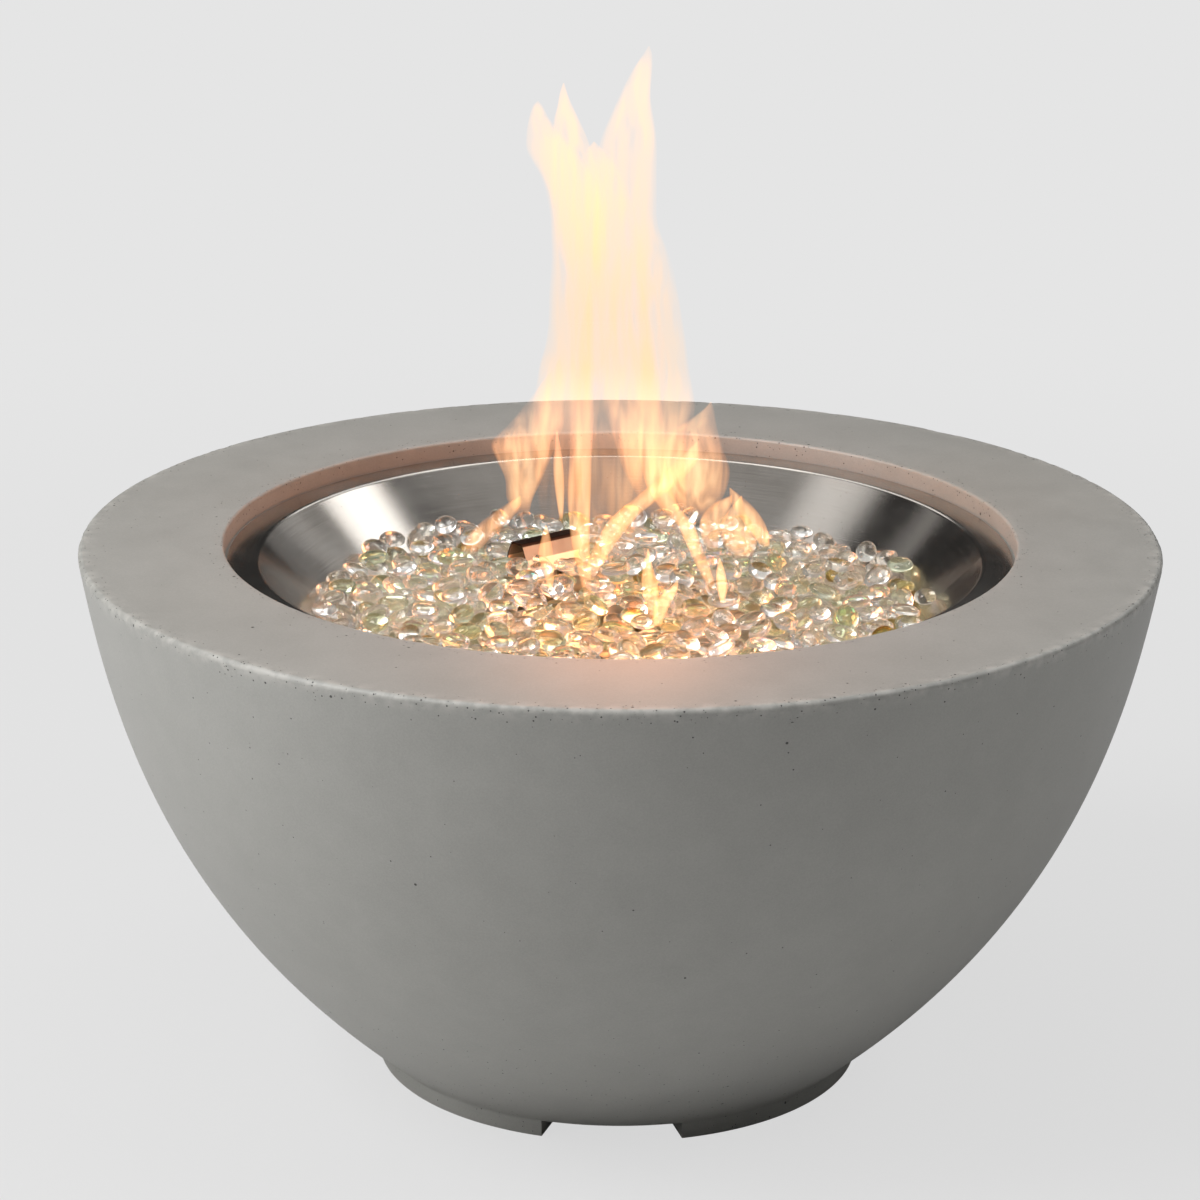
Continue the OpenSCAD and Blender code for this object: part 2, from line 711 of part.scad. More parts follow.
// Burner
module ring_of(d) translate([0, 0, ring_z]) rotate_extrude() translate([ring_r, 0]) circle(d = d);
module cross_of(d) translate([-ring_r, 0, ring_z]) rotate([0, 90, 0]) cylinder(d = d, h = 2 * ring_r);
module burner_ring() color("#9c8f80") difference() {
    union() {
        ring_of(ring_tube_d);
        cross_of(cross_d);
        translate([0, 0, hub_z]) cylinder(d = hub_d, h = hub_h);
    }
    ring_of(ring_tube_d - 2 * tube_t);
    cross_of(cross_d - 2 * tube_t);
    translate([0, 0, hub_z - past]) cylinder(d = nipple_d + 2 * thread_gap, h = hub_h - hub_roof + past);
    for (i = [0:port_n - 1]) rotate(360 * (i + 0.5) / port_n)
        translate([ring_r, 0, ring_z]) rotate([0, 45, 0]) cylinder(d = port_d, h = ring_tube_d);
}
module burner_saddles() color("#a9abad") difference() {
    for (a = saddle_angles) rotate(a) translate([ring_r - saddle_l / 2, 0, floor_z]) {
        translate([0, -saddle_t / 2, 0]) cube([saddle_l, saddle_t, ring_z - floor_z]);
        translate([0, -saddle_foot / 2, 0]) cube([saddle_reach, saddle_foot, saddle_t]);
    }
    ring_of(ring_tube_d + 2 * thread_gap);
    for (a = saddle_angles) rotate(a) translate([saddle_screw_r, 0, floor_z - past])
        cylinder(d = screw_d + 2 * hole_gap, h = saddle_t + 2 * past);
}
module pan_screws() color("#8d8f90") {
    for (a = saddle_angles) rotate(a) translate([saddle_screw_r, 0, floor_z + saddle_t]) screw(screw_l);
    for (x = [-1, 1], y = [-1, 1]) on_hood(x * hood_screw_x, y * hood_screw_y, hood_t) screw(screw_l);
    on_hood(0, 0, bracket_t) screw(screw_l);
}
module pan_nuts() color("#8d8f90")
    at_pan_screws(-pan_t - screw_nut_t) hex_nut(screw_af, screw_nut_t, screw_d + 2 * thread_gap);

// Gas nipple through the pan floor
module gas_nipple() color("#7e7f80")
    translate([0, 0, nipple_end]) tube(nipple_d, nipple_bore, nipple_top - nipple_end);
module nipple_locknuts() color("#b98d3e")
    for (z = [floor_z + washer_t, under_z - washer_t - locknut_t])
        translate([0, 0, z]) hex_nut(locknut_af, locknut_t, nipple_d + 2 * thread_gap);
module nipple_washers() color("#a9abad")
    for (z = [floor_z, under_z - washer_t])
        translate([0, 0, z]) tube(washer_d, nipple_d + 2 * hole_gap, washer_t);

// Hood, bracket, electrode and thermocouple
module pilot_hood() {
    legs = hood_w / 2;
    top = hood_top_w / 2;
    knee = hood_h - hood_shoulder;
    knee_bend = 3;
    half = concat(
        [[[-legs - hood_foot, hood_t], [0, 1]]],
        bend([-legs - hood_foot, hood_t], [-legs, hood_t], [-legs, knee], hood_bend, 3),
        bend([-legs, hood_t], [-legs, knee], [-top, hood_h], knee_bend, 3),
        bend([-legs, knee], [-top, hood_h], [0, hood_h], knee_bend, 4)
    );
    other = [for (e = reversed(half)) [[-e[0].x, e[0].y], [-e[1].x, e[1].y]]];
    color("#4a3028") difference() {
        on_hood(-hood_l / 2) rotate([90, 0, 90]) linear_extrude(hood_l)
            polygon(sheet(concat(half, other), -hood_t));
        for (x = [-1, 1], y = [-1, 1]) on_hood(x * hood_screw_x, y * hood_screw_y, -past)
            cylinder(d = screw_d + 2 * hole_gap, h = hood_t + 2 * past);
        on_hood(0, -legs, knee / 2) cube([window_l, 4 * hood_t, window_h], center = true);
    }
}
module igniter_bracket() color("#a9abad") difference() {
    inner_w = hood_w - 2 * hood_t - 2 * rest_gap;
    on_hood(0, 0, bracket_t / 2) cube([bracket_l, inner_w, bracket_t], center = true);
    on_hood(0, 0, -past) cylinder(d = screw_d + 2 * hole_gap, h = bracket_t + 2 * past);
    on_hood(-probe_at, 0, -past) cylinder(d = ceramic_d + 2 * thread_gap, h = bracket_t + 2 * past);
    on_hood(probe_at, 0, -past) cylinder(d = couple_d + 2 * thread_gap, h = bracket_t + 2 * past);
}
module electrode_ceramic() color("#efeade") difference() {
    on_hood(-probe_at) {
        translate([0, 0, -ceramic_down]) cylinder(d = ceramic_d, h = ceramic_down + ceramic_up);
        translate([0, 0, bracket_t]) cylinder(d = collar_d, h = collar_t);
    }
    on_hood(-probe_at, 0, -ceramic_down - past)
        cylinder(d = rod_d + 2 * thread_gap, h = ceramic_down + ceramic_up + 2 * past);
}
module electrode_rod() color("#6d6a66") on_hood(-probe_at) {
    reach = hood_w / 2 - hood_t - spark_gap;
    translate([0, 0, -ceramic_down - post_l]) cylinder(d = rod_d, h = ceramic_down + post_l + spark_h);
    translate([0, 0, spark_h]) sphere(d = rod_d);
    translate([0, 0, spark_h]) rotate([90, 0, 0]) cylinder(d = rod_d, h = reach);
}
module thermocouple() color("#a08a70") on_hood(probe_at) {
    translate([0, 0, -couple_down]) cylinder(d = couple_d, h = couple_down + couple_up);
    cylinder(d = couple_tip_d, h = spark_h - couple_tip_d / 2);
    translate([0, 0, spark_h - couple_tip_d / 2]) sphere(d = couple_tip_d);
}
module thermocouple_nut() color("#b98d3e")
    on_hood(probe_at, 0, bracket_t) hex_nut(couple_af, couple_nut_t, couple_d + 2 * thread_gap);

// Elbow, mixer, shutter and orifice
module gas_elbow() color("#7e7f80") difference() {
    union() {
        translate([0, 0, elbow_z]) {
            cylinder(d = elbow_d, h = elbow_arm);
            sphere(d = elbow_d);
            translate([0, 0, elbow_arm - band_l]) cylinder(d = band_d, h = band_l);
        }
        along_y(0, elbow_z) {
            cylinder(d = elbow_d, h = elbow_arm);
            translate([0, 0, elbow_arm - band_l]) cylinder(d = band_d, h = band_l);
        }
    }
    translate([0, 0, elbow_z]) {
        cylinder(d = mixer_bore, h = elbow_arm);
        translate([0, 0, elbow_arm - socket_l]) cylinder(d = nipple_d + 2 * thread_gap, h = socket_l + past);
    }
    along_y(0, elbow_z) {
        cylinder(d = mixer_bore, h = elbow_arm);
        translate([0, 0, elbow_arm - socket_l]) cylinder(d = nipple_d + 2 * thread_gap, h = socket_l + past);
    }
}
module air_windows(d)
    for (a = [0, 90]) translate([0, window_y, elbow_z]) rotate([0, a, 0])
        cylinder(d = window_d, h = d, center = true);
module air_mixer() color("#b9bbbc") difference() {
    union() {
        along_y(elbow_arm - socket_l + rest_gap, elbow_z) cylinder(d = nipple_d, h = socket_l + past);
        along_y(mixer_y, elbow_z) cylinder(d = barrel_d, h = barrel_l);
    }
    along_y(0, elbow_z) cylinder(d = mixer_bore, h = orifice_y - orifice_l);
    along_y(orifice_y - orifice_l - past, elbow_z)
        cylinder(d = orifice_d + 2 * thread_gap, h = orifice_l + 2 * past);
    air_windows(2 * barrel_d);
}
module air_shutter() color("#c9cbcc") difference() {
    outer_d = barrel_d + 2 * run_gap + 2 * shutter_t;
    along_y(window_y - shutter_l / 2, elbow_z) tube(outer_d, barrel_d + 2 * run_gap, shutter_l);
    air_windows(2 * barrel_d);
    shutter_screw_place(-past) cylinder(d = shutter_screw_d + 2 * thread_gap, h = shutter_t + 3 * past);
}
module shutter_screw_place(z)
    translate([0, window_y + shutter_l / 2 - shutter_inset, elbow_z]) rotate([0, 225, 0])
        translate([0, 0, barrel_d / 2 + run_gap + z]) children();
module shutter_screw() color("#8d8f90") shutter_screw_place(0) {
    cylinder(d = shutter_screw_d, h = shutter_t + past);
    translate([0, 0, shutter_t + rest_gap]) cylinder(d = shutter_head_d, h = shutter_head_h);
}
module flare_end(l) rotate_extrude()
    polygon([[0, 0], [flare_d / 2, 0], [flare_d / 2, l - flare_tip], [flare_d / 2 - flare_tip, l], [0, l]]);
module gas_orifice() color("#c59a48") difference() {
    union() {
        along_y(orifice_y - orifice_l + rest_gap, elbow_z) cylinder(d = orifice_d, h = orifice_l);
        along_y(orifice_y, elbow_z) hex(orifice_af, hex_t);
        along_y(orifice_y + hex_t - past, elbow_z) flare_end(flare_l + past);
    }
    along_y(0, elbow_z) cylinder(d = jet_d, h = orifice_y + hex_t);
    along_y(orifice_y, elbow_z) cylinder(d = port_bore, h = hex_t + flare_l + past);
}

// A flare nut, from its open end at z = 0 to its tube end
module flare_nut() {
    grip = flare_l - nut_stand;
    difference() {
        hex(flare_af, flare_nut_l);
        translate([0, 0, -past]) cylinder(d = flare_d + 2 * thread_gap, h = grip + rest_gap + past);
        cylinder(d = connector_d + 2 * hole_gap, h = flare_nut_l + past);
    }
}
nut_y = orifice_y + hex_t + nut_stand;
outlet_x = valve_x - boss_l;
module at_outlet(l) on_panel(outlet_x - l, 0, -port_depth) rotate([0, -90, 0]) children();
module flare_nuts() color("#c59a48") {
    along_y(nut_y, elbow_z) flare_nut();
    at_outlet(nut_stand) flare_nut();
}
module gas_connector() {
    mixer_end = [0, orifice_y + hex_t + flare_l + rest_gap, elbow_z];
    valve_end = from_panel([outlet_x - flare_l - rest_gap, 0, -port_depth]);
    route = [
        mixer_end, mixer_end + [0, 10, 0], mixer_end + [0, 20, 0], mixer_end + [14, 42, -4],
        (mixer_end + valve_end) / 2 + [46, 6, 4], valve_end + [44, -38, 12], valve_end + [38, -8, 3],
        valve_end + [20, 0, 0], valve_end + [10, 0, 0], valve_end
    ];
    color("#d2b24a") sweep(spline(route, 5), connector_d, 10, [0, 0, 1]);
}

// Inlet
module at_inlet(l) on_panel(valve_x, -boss_l - l, -port_depth) rotate([90, 0, 0]) children();
module inlet_fitting() color("#c59a48") difference() {
    union() {
        at_inlet(-inlet_seat) cylinder(d = orifice_d, h = inlet_seat + past);
        at_inlet(rest_gap) hex(orifice_af, hex_t);
        at_inlet(rest_gap + hex_t - past) flare_end(inlet_l + past);
    }
    at_inlet(-inlet_seat - past) cylinder(d = port_bore, h = inlet_seat + hex_t + inlet_l + 3 * past);
}

// Valve
module valve_body() color("#c19a50") difference() {
    union() {
        on_panel(valve_x, 0, -valve_l) cylinder(d = valve_d, h = valve_l - panel_t);
        on_panel(valve_x, 0, -panel_t - past) cylinder(d = bonnet_d, h = panel_t + past + bonnet_h);
        on_panel(valve_x, 0, -port_depth) rotate([90, 0, 0]) cylinder(d = boss_d, h = boss_l);
        on_panel(valve_x, 0, -port_depth) rotate([0, -90, 0]) cylinder(d = boss_d, h = boss_l);
        at_outlet(-past) flare_end(flare_l + past);
    }
    on_panel(valve_x, 0, -plunger_room)
        cylinder(d = stem_d + 2 * run_gap, h = plunger_room + bonnet_h + past);
    on_panel(valve_x, 0, -valve_l - past) cylinder(d = plunger_d + 2 * run_gap, h = valve_l);
    at_inlet(-boss_l) cylinder(d = port_bore, h = boss_l + past);
    at_inlet(-inlet_seat) cylinder(d = orifice_d + 2 * thread_gap, h = inlet_seat + past);
    at_outlet(-boss_l) cylinder(d = port_bore, h = boss_l + flare_l + past);
}
module valve_magnet() color("#a9abad") difference() {
    union() {
        on_panel(valve_x, 0, magnet_end) cylinder(d = magnet_d, h = magnet_l);
        on_panel(valve_x, 0, magnet_end - union_l) hex(union_af, union_l + past);
    }
    on_panel(valve_x, 0, -valve_l - magnet_well) cylinder(d = 2 * plunger_d, h = magnet_well + past);
    on_panel(valve_x, 0, magnet_end - union_l - past)
        cylinder(d = capillary_d + 2 * hole_gap, h = union_l);
}
module valve_plunger() color("#8d8f90") {
    on_panel(valve_x, 0, -stem_depth - plunger_head) cylinder(d = stem_d - 0.4, h = plunger_head - run_gap);
    on_panel(valve_x, 0, plunger_end)
        cylinder(d = plunger_d, h = -stem_depth - plunger_end - plunger_head / 2);
}
module stem_outline(gap) intersection() {
    circle(d = stem_d + 2 * gap);
    translate([-stem_d, -stem_d]) square([2 * stem_d, stem_d + stem_flat + gap]);
}
module valve_stem() color("#c19a50") {
    on_panel(valve_x, 0, -stem_depth) cylinder(d = stem_d, h = stem_depth + knob_z);
    on_panel(valve_x, 0, knob_z - past) linear_extrude(stem_top - knob_z + past) stem_outline(0);
}
module valve_nut() color("#b9bbbc")
    on_panel(valve_x, 0, 0) hex_nut(valve_af, valve_nut_t, bonnet_d + 2 * thread_gap);

// Knob and bezel
module control_knob() color("#1d1d1e") difference() {
    union() {
        on_panel(valve_x, 0, knob_z) {
            rotate_extrude() polygon([
                [0, 0], [knob_d / 2, 0], [knob_d / 2, skirt_t], [knob_d / 2 - skirt_step, skirt_t],
                [crown_d / 2, skirt_t + skirt_rise], [0, skirt_t + skirt_rise]
            ]);
            intersection() {
                translate([0, 0, skirt_t]) cylinder(d = crown_d, h = knob_h - skirt_t);
                translate([-grip_w / 2, -crown_d, 0]) cube([grip_w, 2 * crown_d, knob_h]);
            }
        }
    }
    on_panel(valve_x, 0, knob_z - past) cylinder(d = knob_bore, h = knob_hollow + past);
    on_panel(valve_x, 0, knob_z - past)
        linear_extrude(stem_top - knob_z + past + rest_gap) stem_outline(thread_gap);
    on_panel(valve_x - pointer_w / 2, crown_d / 2 - pointer_l, knob_z + knob_h - pointer_w / 2)
        cube([pointer_w, pointer_l + past, pointer_w]);
}
module knob_bezel() color("#c2c4c6") difference() {
    marks = [90, 0, -90];
    on_panel(valve_x, 0, 0) tube(bezel_d, valve_af / cos(30) + 2, bezel_t);
    for (a = marks) on_panel(valve_x, 0, bezel_t) rotate(a)
        translate([(knob_d + bezel_d) / 4, 0, 0])
            cube([(bezel_d - knob_d) / 4, mark_w, 2 * mark_depth], center = true);
}

// Panel
module control_panel() color("#c2c4c6") difference() {
    on_panel(0, 0, -panel_t) rounded_plate(panel_w, panel_h, panel_round, panel_t);
    on_panel(valve_x, 0, -panel_t - past) cylinder(d = bonnet_d + 2 * hole_gap, h = panel_t + 2 * past);
    on_panel(igniter_x, 0, -panel_t - past) cylinder(d = igniter_d + 2 * hole_gap, h = panel_t + 2 * past);
    at_panel_screws(-panel_t - past) cylinder(d = screw_d + 2 * hole_gap, h = panel_t + 2 * past);
}
module panel_screws() color("#b9bbbc") at_panel_screws() screw(insert_l);

// Igniter
module igniter_body() color("#242426") difference() {
    union() {
        on_panel(igniter_x, 0, -igniter_l) cylinder(d = igniter_d, h = igniter_l + igniter_flange_t);
        on_panel(igniter_x, 0, 0) cylinder(d = igniter_flange_d, h = igniter_flange_t);
        on_panel(igniter_x, 0, -igniter_l - post_l) cylinder(d = post_d, h = post_l + past);
    }
    on_panel(igniter_x, 0, cell_top)
        cylinder(d = spigot_d + 2 * run_gap, h = -cell_top + igniter_flange_t + past);
    on_panel(igniter_x, 0, cell_top - cell_l - spring_room)
        cylinder(d = cell_d + 2 * rest_gap, h = cell_l + spring_room + past);
}
module igniter_nut() color("#242426")
    on_panel(igniter_x, 0, -panel_t - igniter_nut_t)
        hex_nut(igniter_af, igniter_nut_t, igniter_d + 2 * thread_gap);
module igniter_cap() color("#2c2c2e") difference() {
    lowest = cap_z - spigot_l - past;
    on_panel(igniter_x, 0, cap_z) {
        cylinder(d = cap_d, h = cap_t);
        translate([0, 0, -spigot_l]) cylinder(d = spigot_d, h = spigot_l + past);
    }
    on_panel(igniter_x, 0, lowest) cylinder(d = button_d + 2 * run_gap, h = spigot_l + cap_t + 2 * past);
    on_panel(igniter_x, 0, lowest) cylinder(d = shoulder_d + 2 * run_gap, h = shelf_z + rest_gap - lowest);
    for (i = [0:flutes - 1]) on_panel(igniter_x, 0, cap_z + cap_t / 5) rotate(360 * i / flutes)
        translate([cap_d / 2 + flute_d / 6, 0, 0]) cylinder(d = flute_d, h = cap_t);
}
module igniter_button() color("#c8202a") on_panel(igniter_x, 0, shelf_z - shoulder_t) {
    cylinder(d = shoulder_d, h = shoulder_t);
    cylinder(d = button_d, h = cap_z + cap_t + button_up - shelf_z + shoulder_t);
}
module battery_cell() color("#3a4a5a") {
    terminal_d = 5.4;
    terminal_h = 1.2;
    on_panel(igniter_x, 0, cell_top - cell_l) cylinder(d = cell_d, h = cell_l - terminal_h);
    on_panel(igniter_x, 0, cell_top - terminal_h - past) cylinder(d = terminal_d, h = terminal_h + past);
}
module battery_spring() {
    turns = 4;
    steps = 14;
    wide_r = 5.2;
    narrow_r = 3.4;
    low_z = cell_top - cell_l - spring_room + rest_gap + spring_wire / 2;
    rise = spring_room - 2 * rest_gap - spring_wire;
    coil = [for (i = [0:turns * steps])
        let (a = 360 * i / steps, t = i / (turns * steps), r = wide_r + (narrow_r - wide_r) * t)
        from_panel([igniter_x + r * cos(a), r * sin(a), low_z + rise * t])];
    color("#c9cbcc") sweep(coil, spring_wire, 6, out);
}

// Leads
igniter_end = -igniter_l - rest_gap;
rod_end_z = floor_z - ceramic_down - post_l;
function under_hood(x, z) = [hood_x, hood_y, z] + concat(turned([x, 0], hood_turn), [0]);
module ignition_lead() {
    a = from_panel([igniter_x, 0, igniter_end - post_l]);
    b = under_hood(-probe_at, rod_end_z - rest_gap);
    route = [
        a, a - 8 * out, a - 18 * out, a + [-12, -42, 22], (a + b) / 2 + [-14, -6, 0],
        b + [-2, 32, -12], b + [0, 6, -20], b + [0, 0, -12], b + [0, 0, -6], b
    ];
    color("#2a2a2b") sweep(spline(route, 5), lead_d, 8, [1, 0, 0]);
}

// A boot from its mouth at z = 0 down over a post and the lead's end
module boot(post) difference() {
    translate([0, 0, -boot_l]) cylinder(d = boot_d, h = boot_l);
    translate([0, 0, -post_l - rest_gap]) cylinder(d = post + 2 * thread_gap, h = post_l + rest_gap + past);
    translate([0, 0, -boot_l - past]) cylinder(d = lead_d + 2 * thread_gap, h = boot_l);
}
module lead_boots() color("#7a2420") {
    on_panel(igniter_x, 0, igniter_end) boot(post_d);
    on_hood(-probe_at, 0, -ceramic_down - rest_gap) boot(rod_d);
}
module thermocouple_lead() {
    a = from_panel([valve_x, 0, magnet_end - union_l / 2]);
    b = under_hood(probe_at, floor_z - couple_down - rest_gap);
    route = [
        a, a - 10 * out, a - 20 * out, a + [-6, -40, 20], (a + b) / 2 + [6, 0, 8],
        b + [10, 22, -14], b + [1, 4, -14], b + [0, 0, -6], b
    ];
    color("#b06a3c") sweep(spline(route, 5), capillary_d, 8, [1, 0, 0]);
}

// Fire glass
module glass_bed() {
    g = rest_gap;
    body = concat(shifted(pan_path, -g), [[0, flange_z + past], [flange_r, flange_z + past]]);
    color("#c9cdb6", 0.6) difference() {
        rotate_extrude() intersection() {
            polygon(body);
            translate([0, floor_z]) square([flange_r, bed_z - floor_z]);
        }
        translate([0, 0, floor_z]) difference() {
            cylinder(r = ring_r + ring_tube_d / 2 + g, h = ring_lift + ring_tube_d + g);
            translate([0, 0, -past]) cylinder(r = ring_r - ring_tube_d / 2 - g, h = 2 * past + bed_z);
        }
        translate([0, 0, floor_z]) cylinder(d = washer_d + 2 * g, h = hub_z + hub_h + g - floor_z);
        translate([-ring_r, -cross_d / 2 - g, floor_z])
            cube([2 * ring_r, cross_d + 2 * g, ring_z - floor_z + cross_d / 2 + g]);
        for (a = saddle_angles) rotate(a)
            translate([ring_r - saddle_l / 2 - g, -saddle_foot / 2 - g, floor_z])
                cube([saddle_reach + 2 * g, saddle_foot + 2 * g, ring_z - floor_z + g]);
        on_hood(-hood_l / 2 - g, -hood_w / 2 - g, 0) cube([hood_l + 2 * g, hood_w + 2 * g, hood_h]);
        on_hood(-hood_l / 2 - g, -hood_w / 2 - hood_foot - g, 0)
            cube([hood_l + 2 * g, hood_w + 2 * hood_foot + 2 * g, hood_t + head_h + g]);
    }
}
module gem(i) {
    r = gem_size[i];
    b = gem_thick[i];
    p = gem_place(i);
    z = bed_z + rest_gap + b + (r - b) * sin(gem_lean[i]);
    translate([p.x, p.y, z]) rotate([0, 0, gem_face[i]]) rotate([gem_lean[i], 0, 0])
        rotate_extrude() intersection() {
            union() {
                translate([r - b, 0]) circle(b);
                translate([0, -b]) square([r - b, 2 * b]);
            }
            translate([0, -b]) square([r, 2 * b]);
        }
}
module gems(low, high)
    for (i = [0:gem_n - 1])
        if (gem_kind[i] >= low && gem_kind[i] < high && clear_of_hood(gem_place(i), gem_size[i])) gem(i);
module gems_clear() color("#dfe3dc") gems(0, clear_share);
module gems_green() color("#bcc9a4") gems(clear_share, green_share);
module gems_amber() color("#b39a4a") gems(green_share, whole_share);

bowl_shell();
panel_inserts();
burner_pan();
burner_ring();
burner_saddles();
pan_screws();
pan_nuts();
gas_nipple();
nipple_locknuts();
nipple_washers();
pilot_hood();
igniter_bracket();
electrode_ceramic();
electrode_rod();
thermocouple();
thermocouple_nut();
gas_elbow();
air_mixer();
air_shutter();
shutter_screw();
gas_orifice();
flare_nuts();
gas_connector();
inlet_fitting();
valve_body();
valve_magnet();
valve_plunger();
valve_stem();
valve_nut();
control_knob();
knob_bezel();
control_panel();
panel_screws();
igniter_body();
igniter_nut();
igniter_cap();
igniter_button();
battery_cell();
battery_spring();
ignition_lead();
lead_boots();
thermocouple_lead();
glass_bed();
gems_clear();
gems_green();
gems_amber();
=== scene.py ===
# Gas fire pit bowl: a cast concrete bowl, a spun pan, fire glass and the gas train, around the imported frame
import json
import math

import bpy
import numpy as np
from mathutils import Matrix, Quaternion, Vector, noise


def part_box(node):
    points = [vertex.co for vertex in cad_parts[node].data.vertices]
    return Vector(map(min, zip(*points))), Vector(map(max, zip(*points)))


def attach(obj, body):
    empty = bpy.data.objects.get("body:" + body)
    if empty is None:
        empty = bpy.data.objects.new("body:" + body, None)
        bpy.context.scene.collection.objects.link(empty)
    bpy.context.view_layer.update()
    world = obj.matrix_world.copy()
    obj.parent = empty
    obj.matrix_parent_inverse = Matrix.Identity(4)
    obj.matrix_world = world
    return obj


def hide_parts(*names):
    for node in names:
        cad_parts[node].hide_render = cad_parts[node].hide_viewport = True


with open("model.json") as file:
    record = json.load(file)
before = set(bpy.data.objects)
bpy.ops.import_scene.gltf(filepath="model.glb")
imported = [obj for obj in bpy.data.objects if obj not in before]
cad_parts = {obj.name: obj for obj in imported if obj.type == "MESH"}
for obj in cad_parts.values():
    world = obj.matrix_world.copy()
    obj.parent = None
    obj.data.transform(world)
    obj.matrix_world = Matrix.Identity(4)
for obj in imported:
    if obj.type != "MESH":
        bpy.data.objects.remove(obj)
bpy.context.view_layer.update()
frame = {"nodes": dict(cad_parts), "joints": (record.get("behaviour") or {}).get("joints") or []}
nodes = frame["nodes"]
joints = {j["name"]: j for j in frame["joints"]}
mm = 0.001
print("Frame loaded:", len(nodes), "CAD nodes")


# Small tools

def linear(hexColour):
    parts = [int(hexColour[i:i + 2], 16) / 255 for i in (1, 3, 5)]
    return [c / 12.92 if c <= 0.04045 else ((c + 0.055) / 1.055) ** 2.4 for c in parts] + [1.0]


def addNode(tree, kind, values=None, links=None, **settings):
    # A source that is a node stands for its first output in use
    node = tree.nodes.new("ShaderNode" + kind)
    for name, value in settings.items():
        setattr(node, name, value)
    for socket, value in (values or {}).items():
        node.inputs[socket].default_value = value
    for socket, source in (links or {}).items():
        if hasattr(source, "outputs"):
            source = next(output for output in source.outputs if output.enabled)
        tree.links.new(source, node.inputs[socket])
    return node


def startMaterial(name):
    material = bpy.data.materials.new(name)
    material.use_nodes = True
    tree = material.node_tree
    tree.nodes.clear()
    return material, tree


def endMaterial(tree, values, links):
    addNode(tree, "OutputMaterial", links={"Surface": addNode(tree, "BsdfPrincipled", values, links)})


def makeMesh(name, points, faces, smoothUnder=35):
    mesh = bpy.data.meshes.new(name)
    mesh.from_pydata([tuple(p) for p in points], [], [tuple(f) for f in faces])
    mesh.update()
    mesh.polygons.foreach_set("use_smooth", [True] * len(mesh.polygons))
    if smoothUnder < 180:
        mesh.set_sharp_from_angle(angle=math.radians(smoothUnder))
    piece = bpy.data.objects.new(name, mesh)
    bpy.context.scene.collection.objects.link(piece)
    return piece


def settle(piece, body, material, slot, *replaced):
    piece.data.materials.clear()
    piece.data.materials.append(material)
    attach(piece, body)
    if replaced:
        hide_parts(*replaced)
    return piece


# Camera: where the photograph was taken from

shot = {
    "place": (0.0504, -2.5552, 1.134),
    "target": (-0.0136, -0.0003, 0.3286),
    "roll": 0.253,
    "lens": 116.8,
    "sensor": 36.0,
}


def placeCamera():
    data = bpy.data.cameras.new("camera")
    data.lens = shot["lens"]
    data.sensor_width = shot["sensor"]
    data.clip_end = 60
    camera = bpy.data.objects.new("camera", data)
    bpy.context.scene.collection.objects.link(camera)
    camera.location = shot["place"]
    camera.rotation_mode = "QUATERNION"
    look = (Vector(shot["target"]) - Vector(shot["place"])).to_track_quat("-Z", "Y")
    camera.rotation_quaternion = look @ Quaternion((0, 0, 1), math.radians(shot["roll"]))
    bpy.context.scene.camera = camera


placeCamera()


# Studio: soft boxes, a pale floor and an even room light

studio = {
    "floorGrey": "#e5e5e5",
    "floorPaper": "#dedede",
    "roomDim": 0.04,
    "roomThroughGlass": 0.38,
    "shadowShare": 0.16,
    "shadowReach": (0.5, 2.2),
    "floorHalf": 20.0,
    "floorDrop": 0.0002,
    "boxes": [
        # name, place, target, width, height, watts, what it lights
        ("keyLeft", (-2.07, -0.92, 2.51), (0, 0, 0.25), 1.6, 1.6, 70, "all but pan"),
        ("lowLeft", (-2.84, -1.26, 1.02), (0, 0, 0.25), 1.3, 1.1, 20, "all but pan and glass"),
        ("fillRight", (2.07, -0.92, 2.51), (0, 0, 0.25), 1.3, 1.3, 18, "all but pan and glass"),
        ("overhead", (0.0, 0.2, 3.45), (0, 0, 0.25), 1.5, 1.5, 10, "all but pan"),
        ("ceiling", (0.0, 0.0, 3.2), (0, 0, 0.25), 4.0, 4.0, 21, "all"),
        ("backRight", (1.93, 1.36, 2.32), (0, 0, 0.33), 1.0, 0.8, 8, "all"),
        ("backLeft", (-1.87, 0.66, 2.65), (0, 0, 0.33), 1.1, 0.8, 3.2, "all"),
        ("backSheen", (1.6, 2.1, 1.8), (0, 0, 0.33), 1.6, 0.8, 1.5, "all"),
        ("backStrip", (-1.73, 2.05, 1.8), (0, 0, 0.33), 0.14, 0.8, 0.35, "all"),
        ("hoodCard", (0.6, -0.66, 0.8), (-0.055, 0.103, 0.34), 0.3, 0.3, 13, "by the hood"),
        ("farLow", (1.24, 2.06, 1.05), (0, 0, 0.35), 1.3, 0.9, 0.75, "pan"),
        ("lipRight", (0.4, 1.89, 2.12), (0, 0, 0.35), 0.45, 1.2, 4.0, "pan"),
        ("lipLeft", (-0.4, 1.89, 2.12), (0, 0, 0.35), 0.45, 1.2, 4.0, "pan"),
        ("lipTop", (0.0, 1.3, 2.61), (0, 0, 0.35), 1.5, 0.45, 4.4, "pan"),
    ],
}


lightGroups = {}


def lightOnly(piece, group):
    # Flags in the studio: a group of lamps reaches its own pieces, or "all but" those
    if group not in lightGroups:
        lightGroups[group] = bpy.data.collections.new(group)
    lightGroups[group].objects.link(piece)
    for member in lightGroups[group].collection_objects:
        member.light_linking.link_state = "EXCLUDE" if group.startswith("all but") else "INCLUDE"


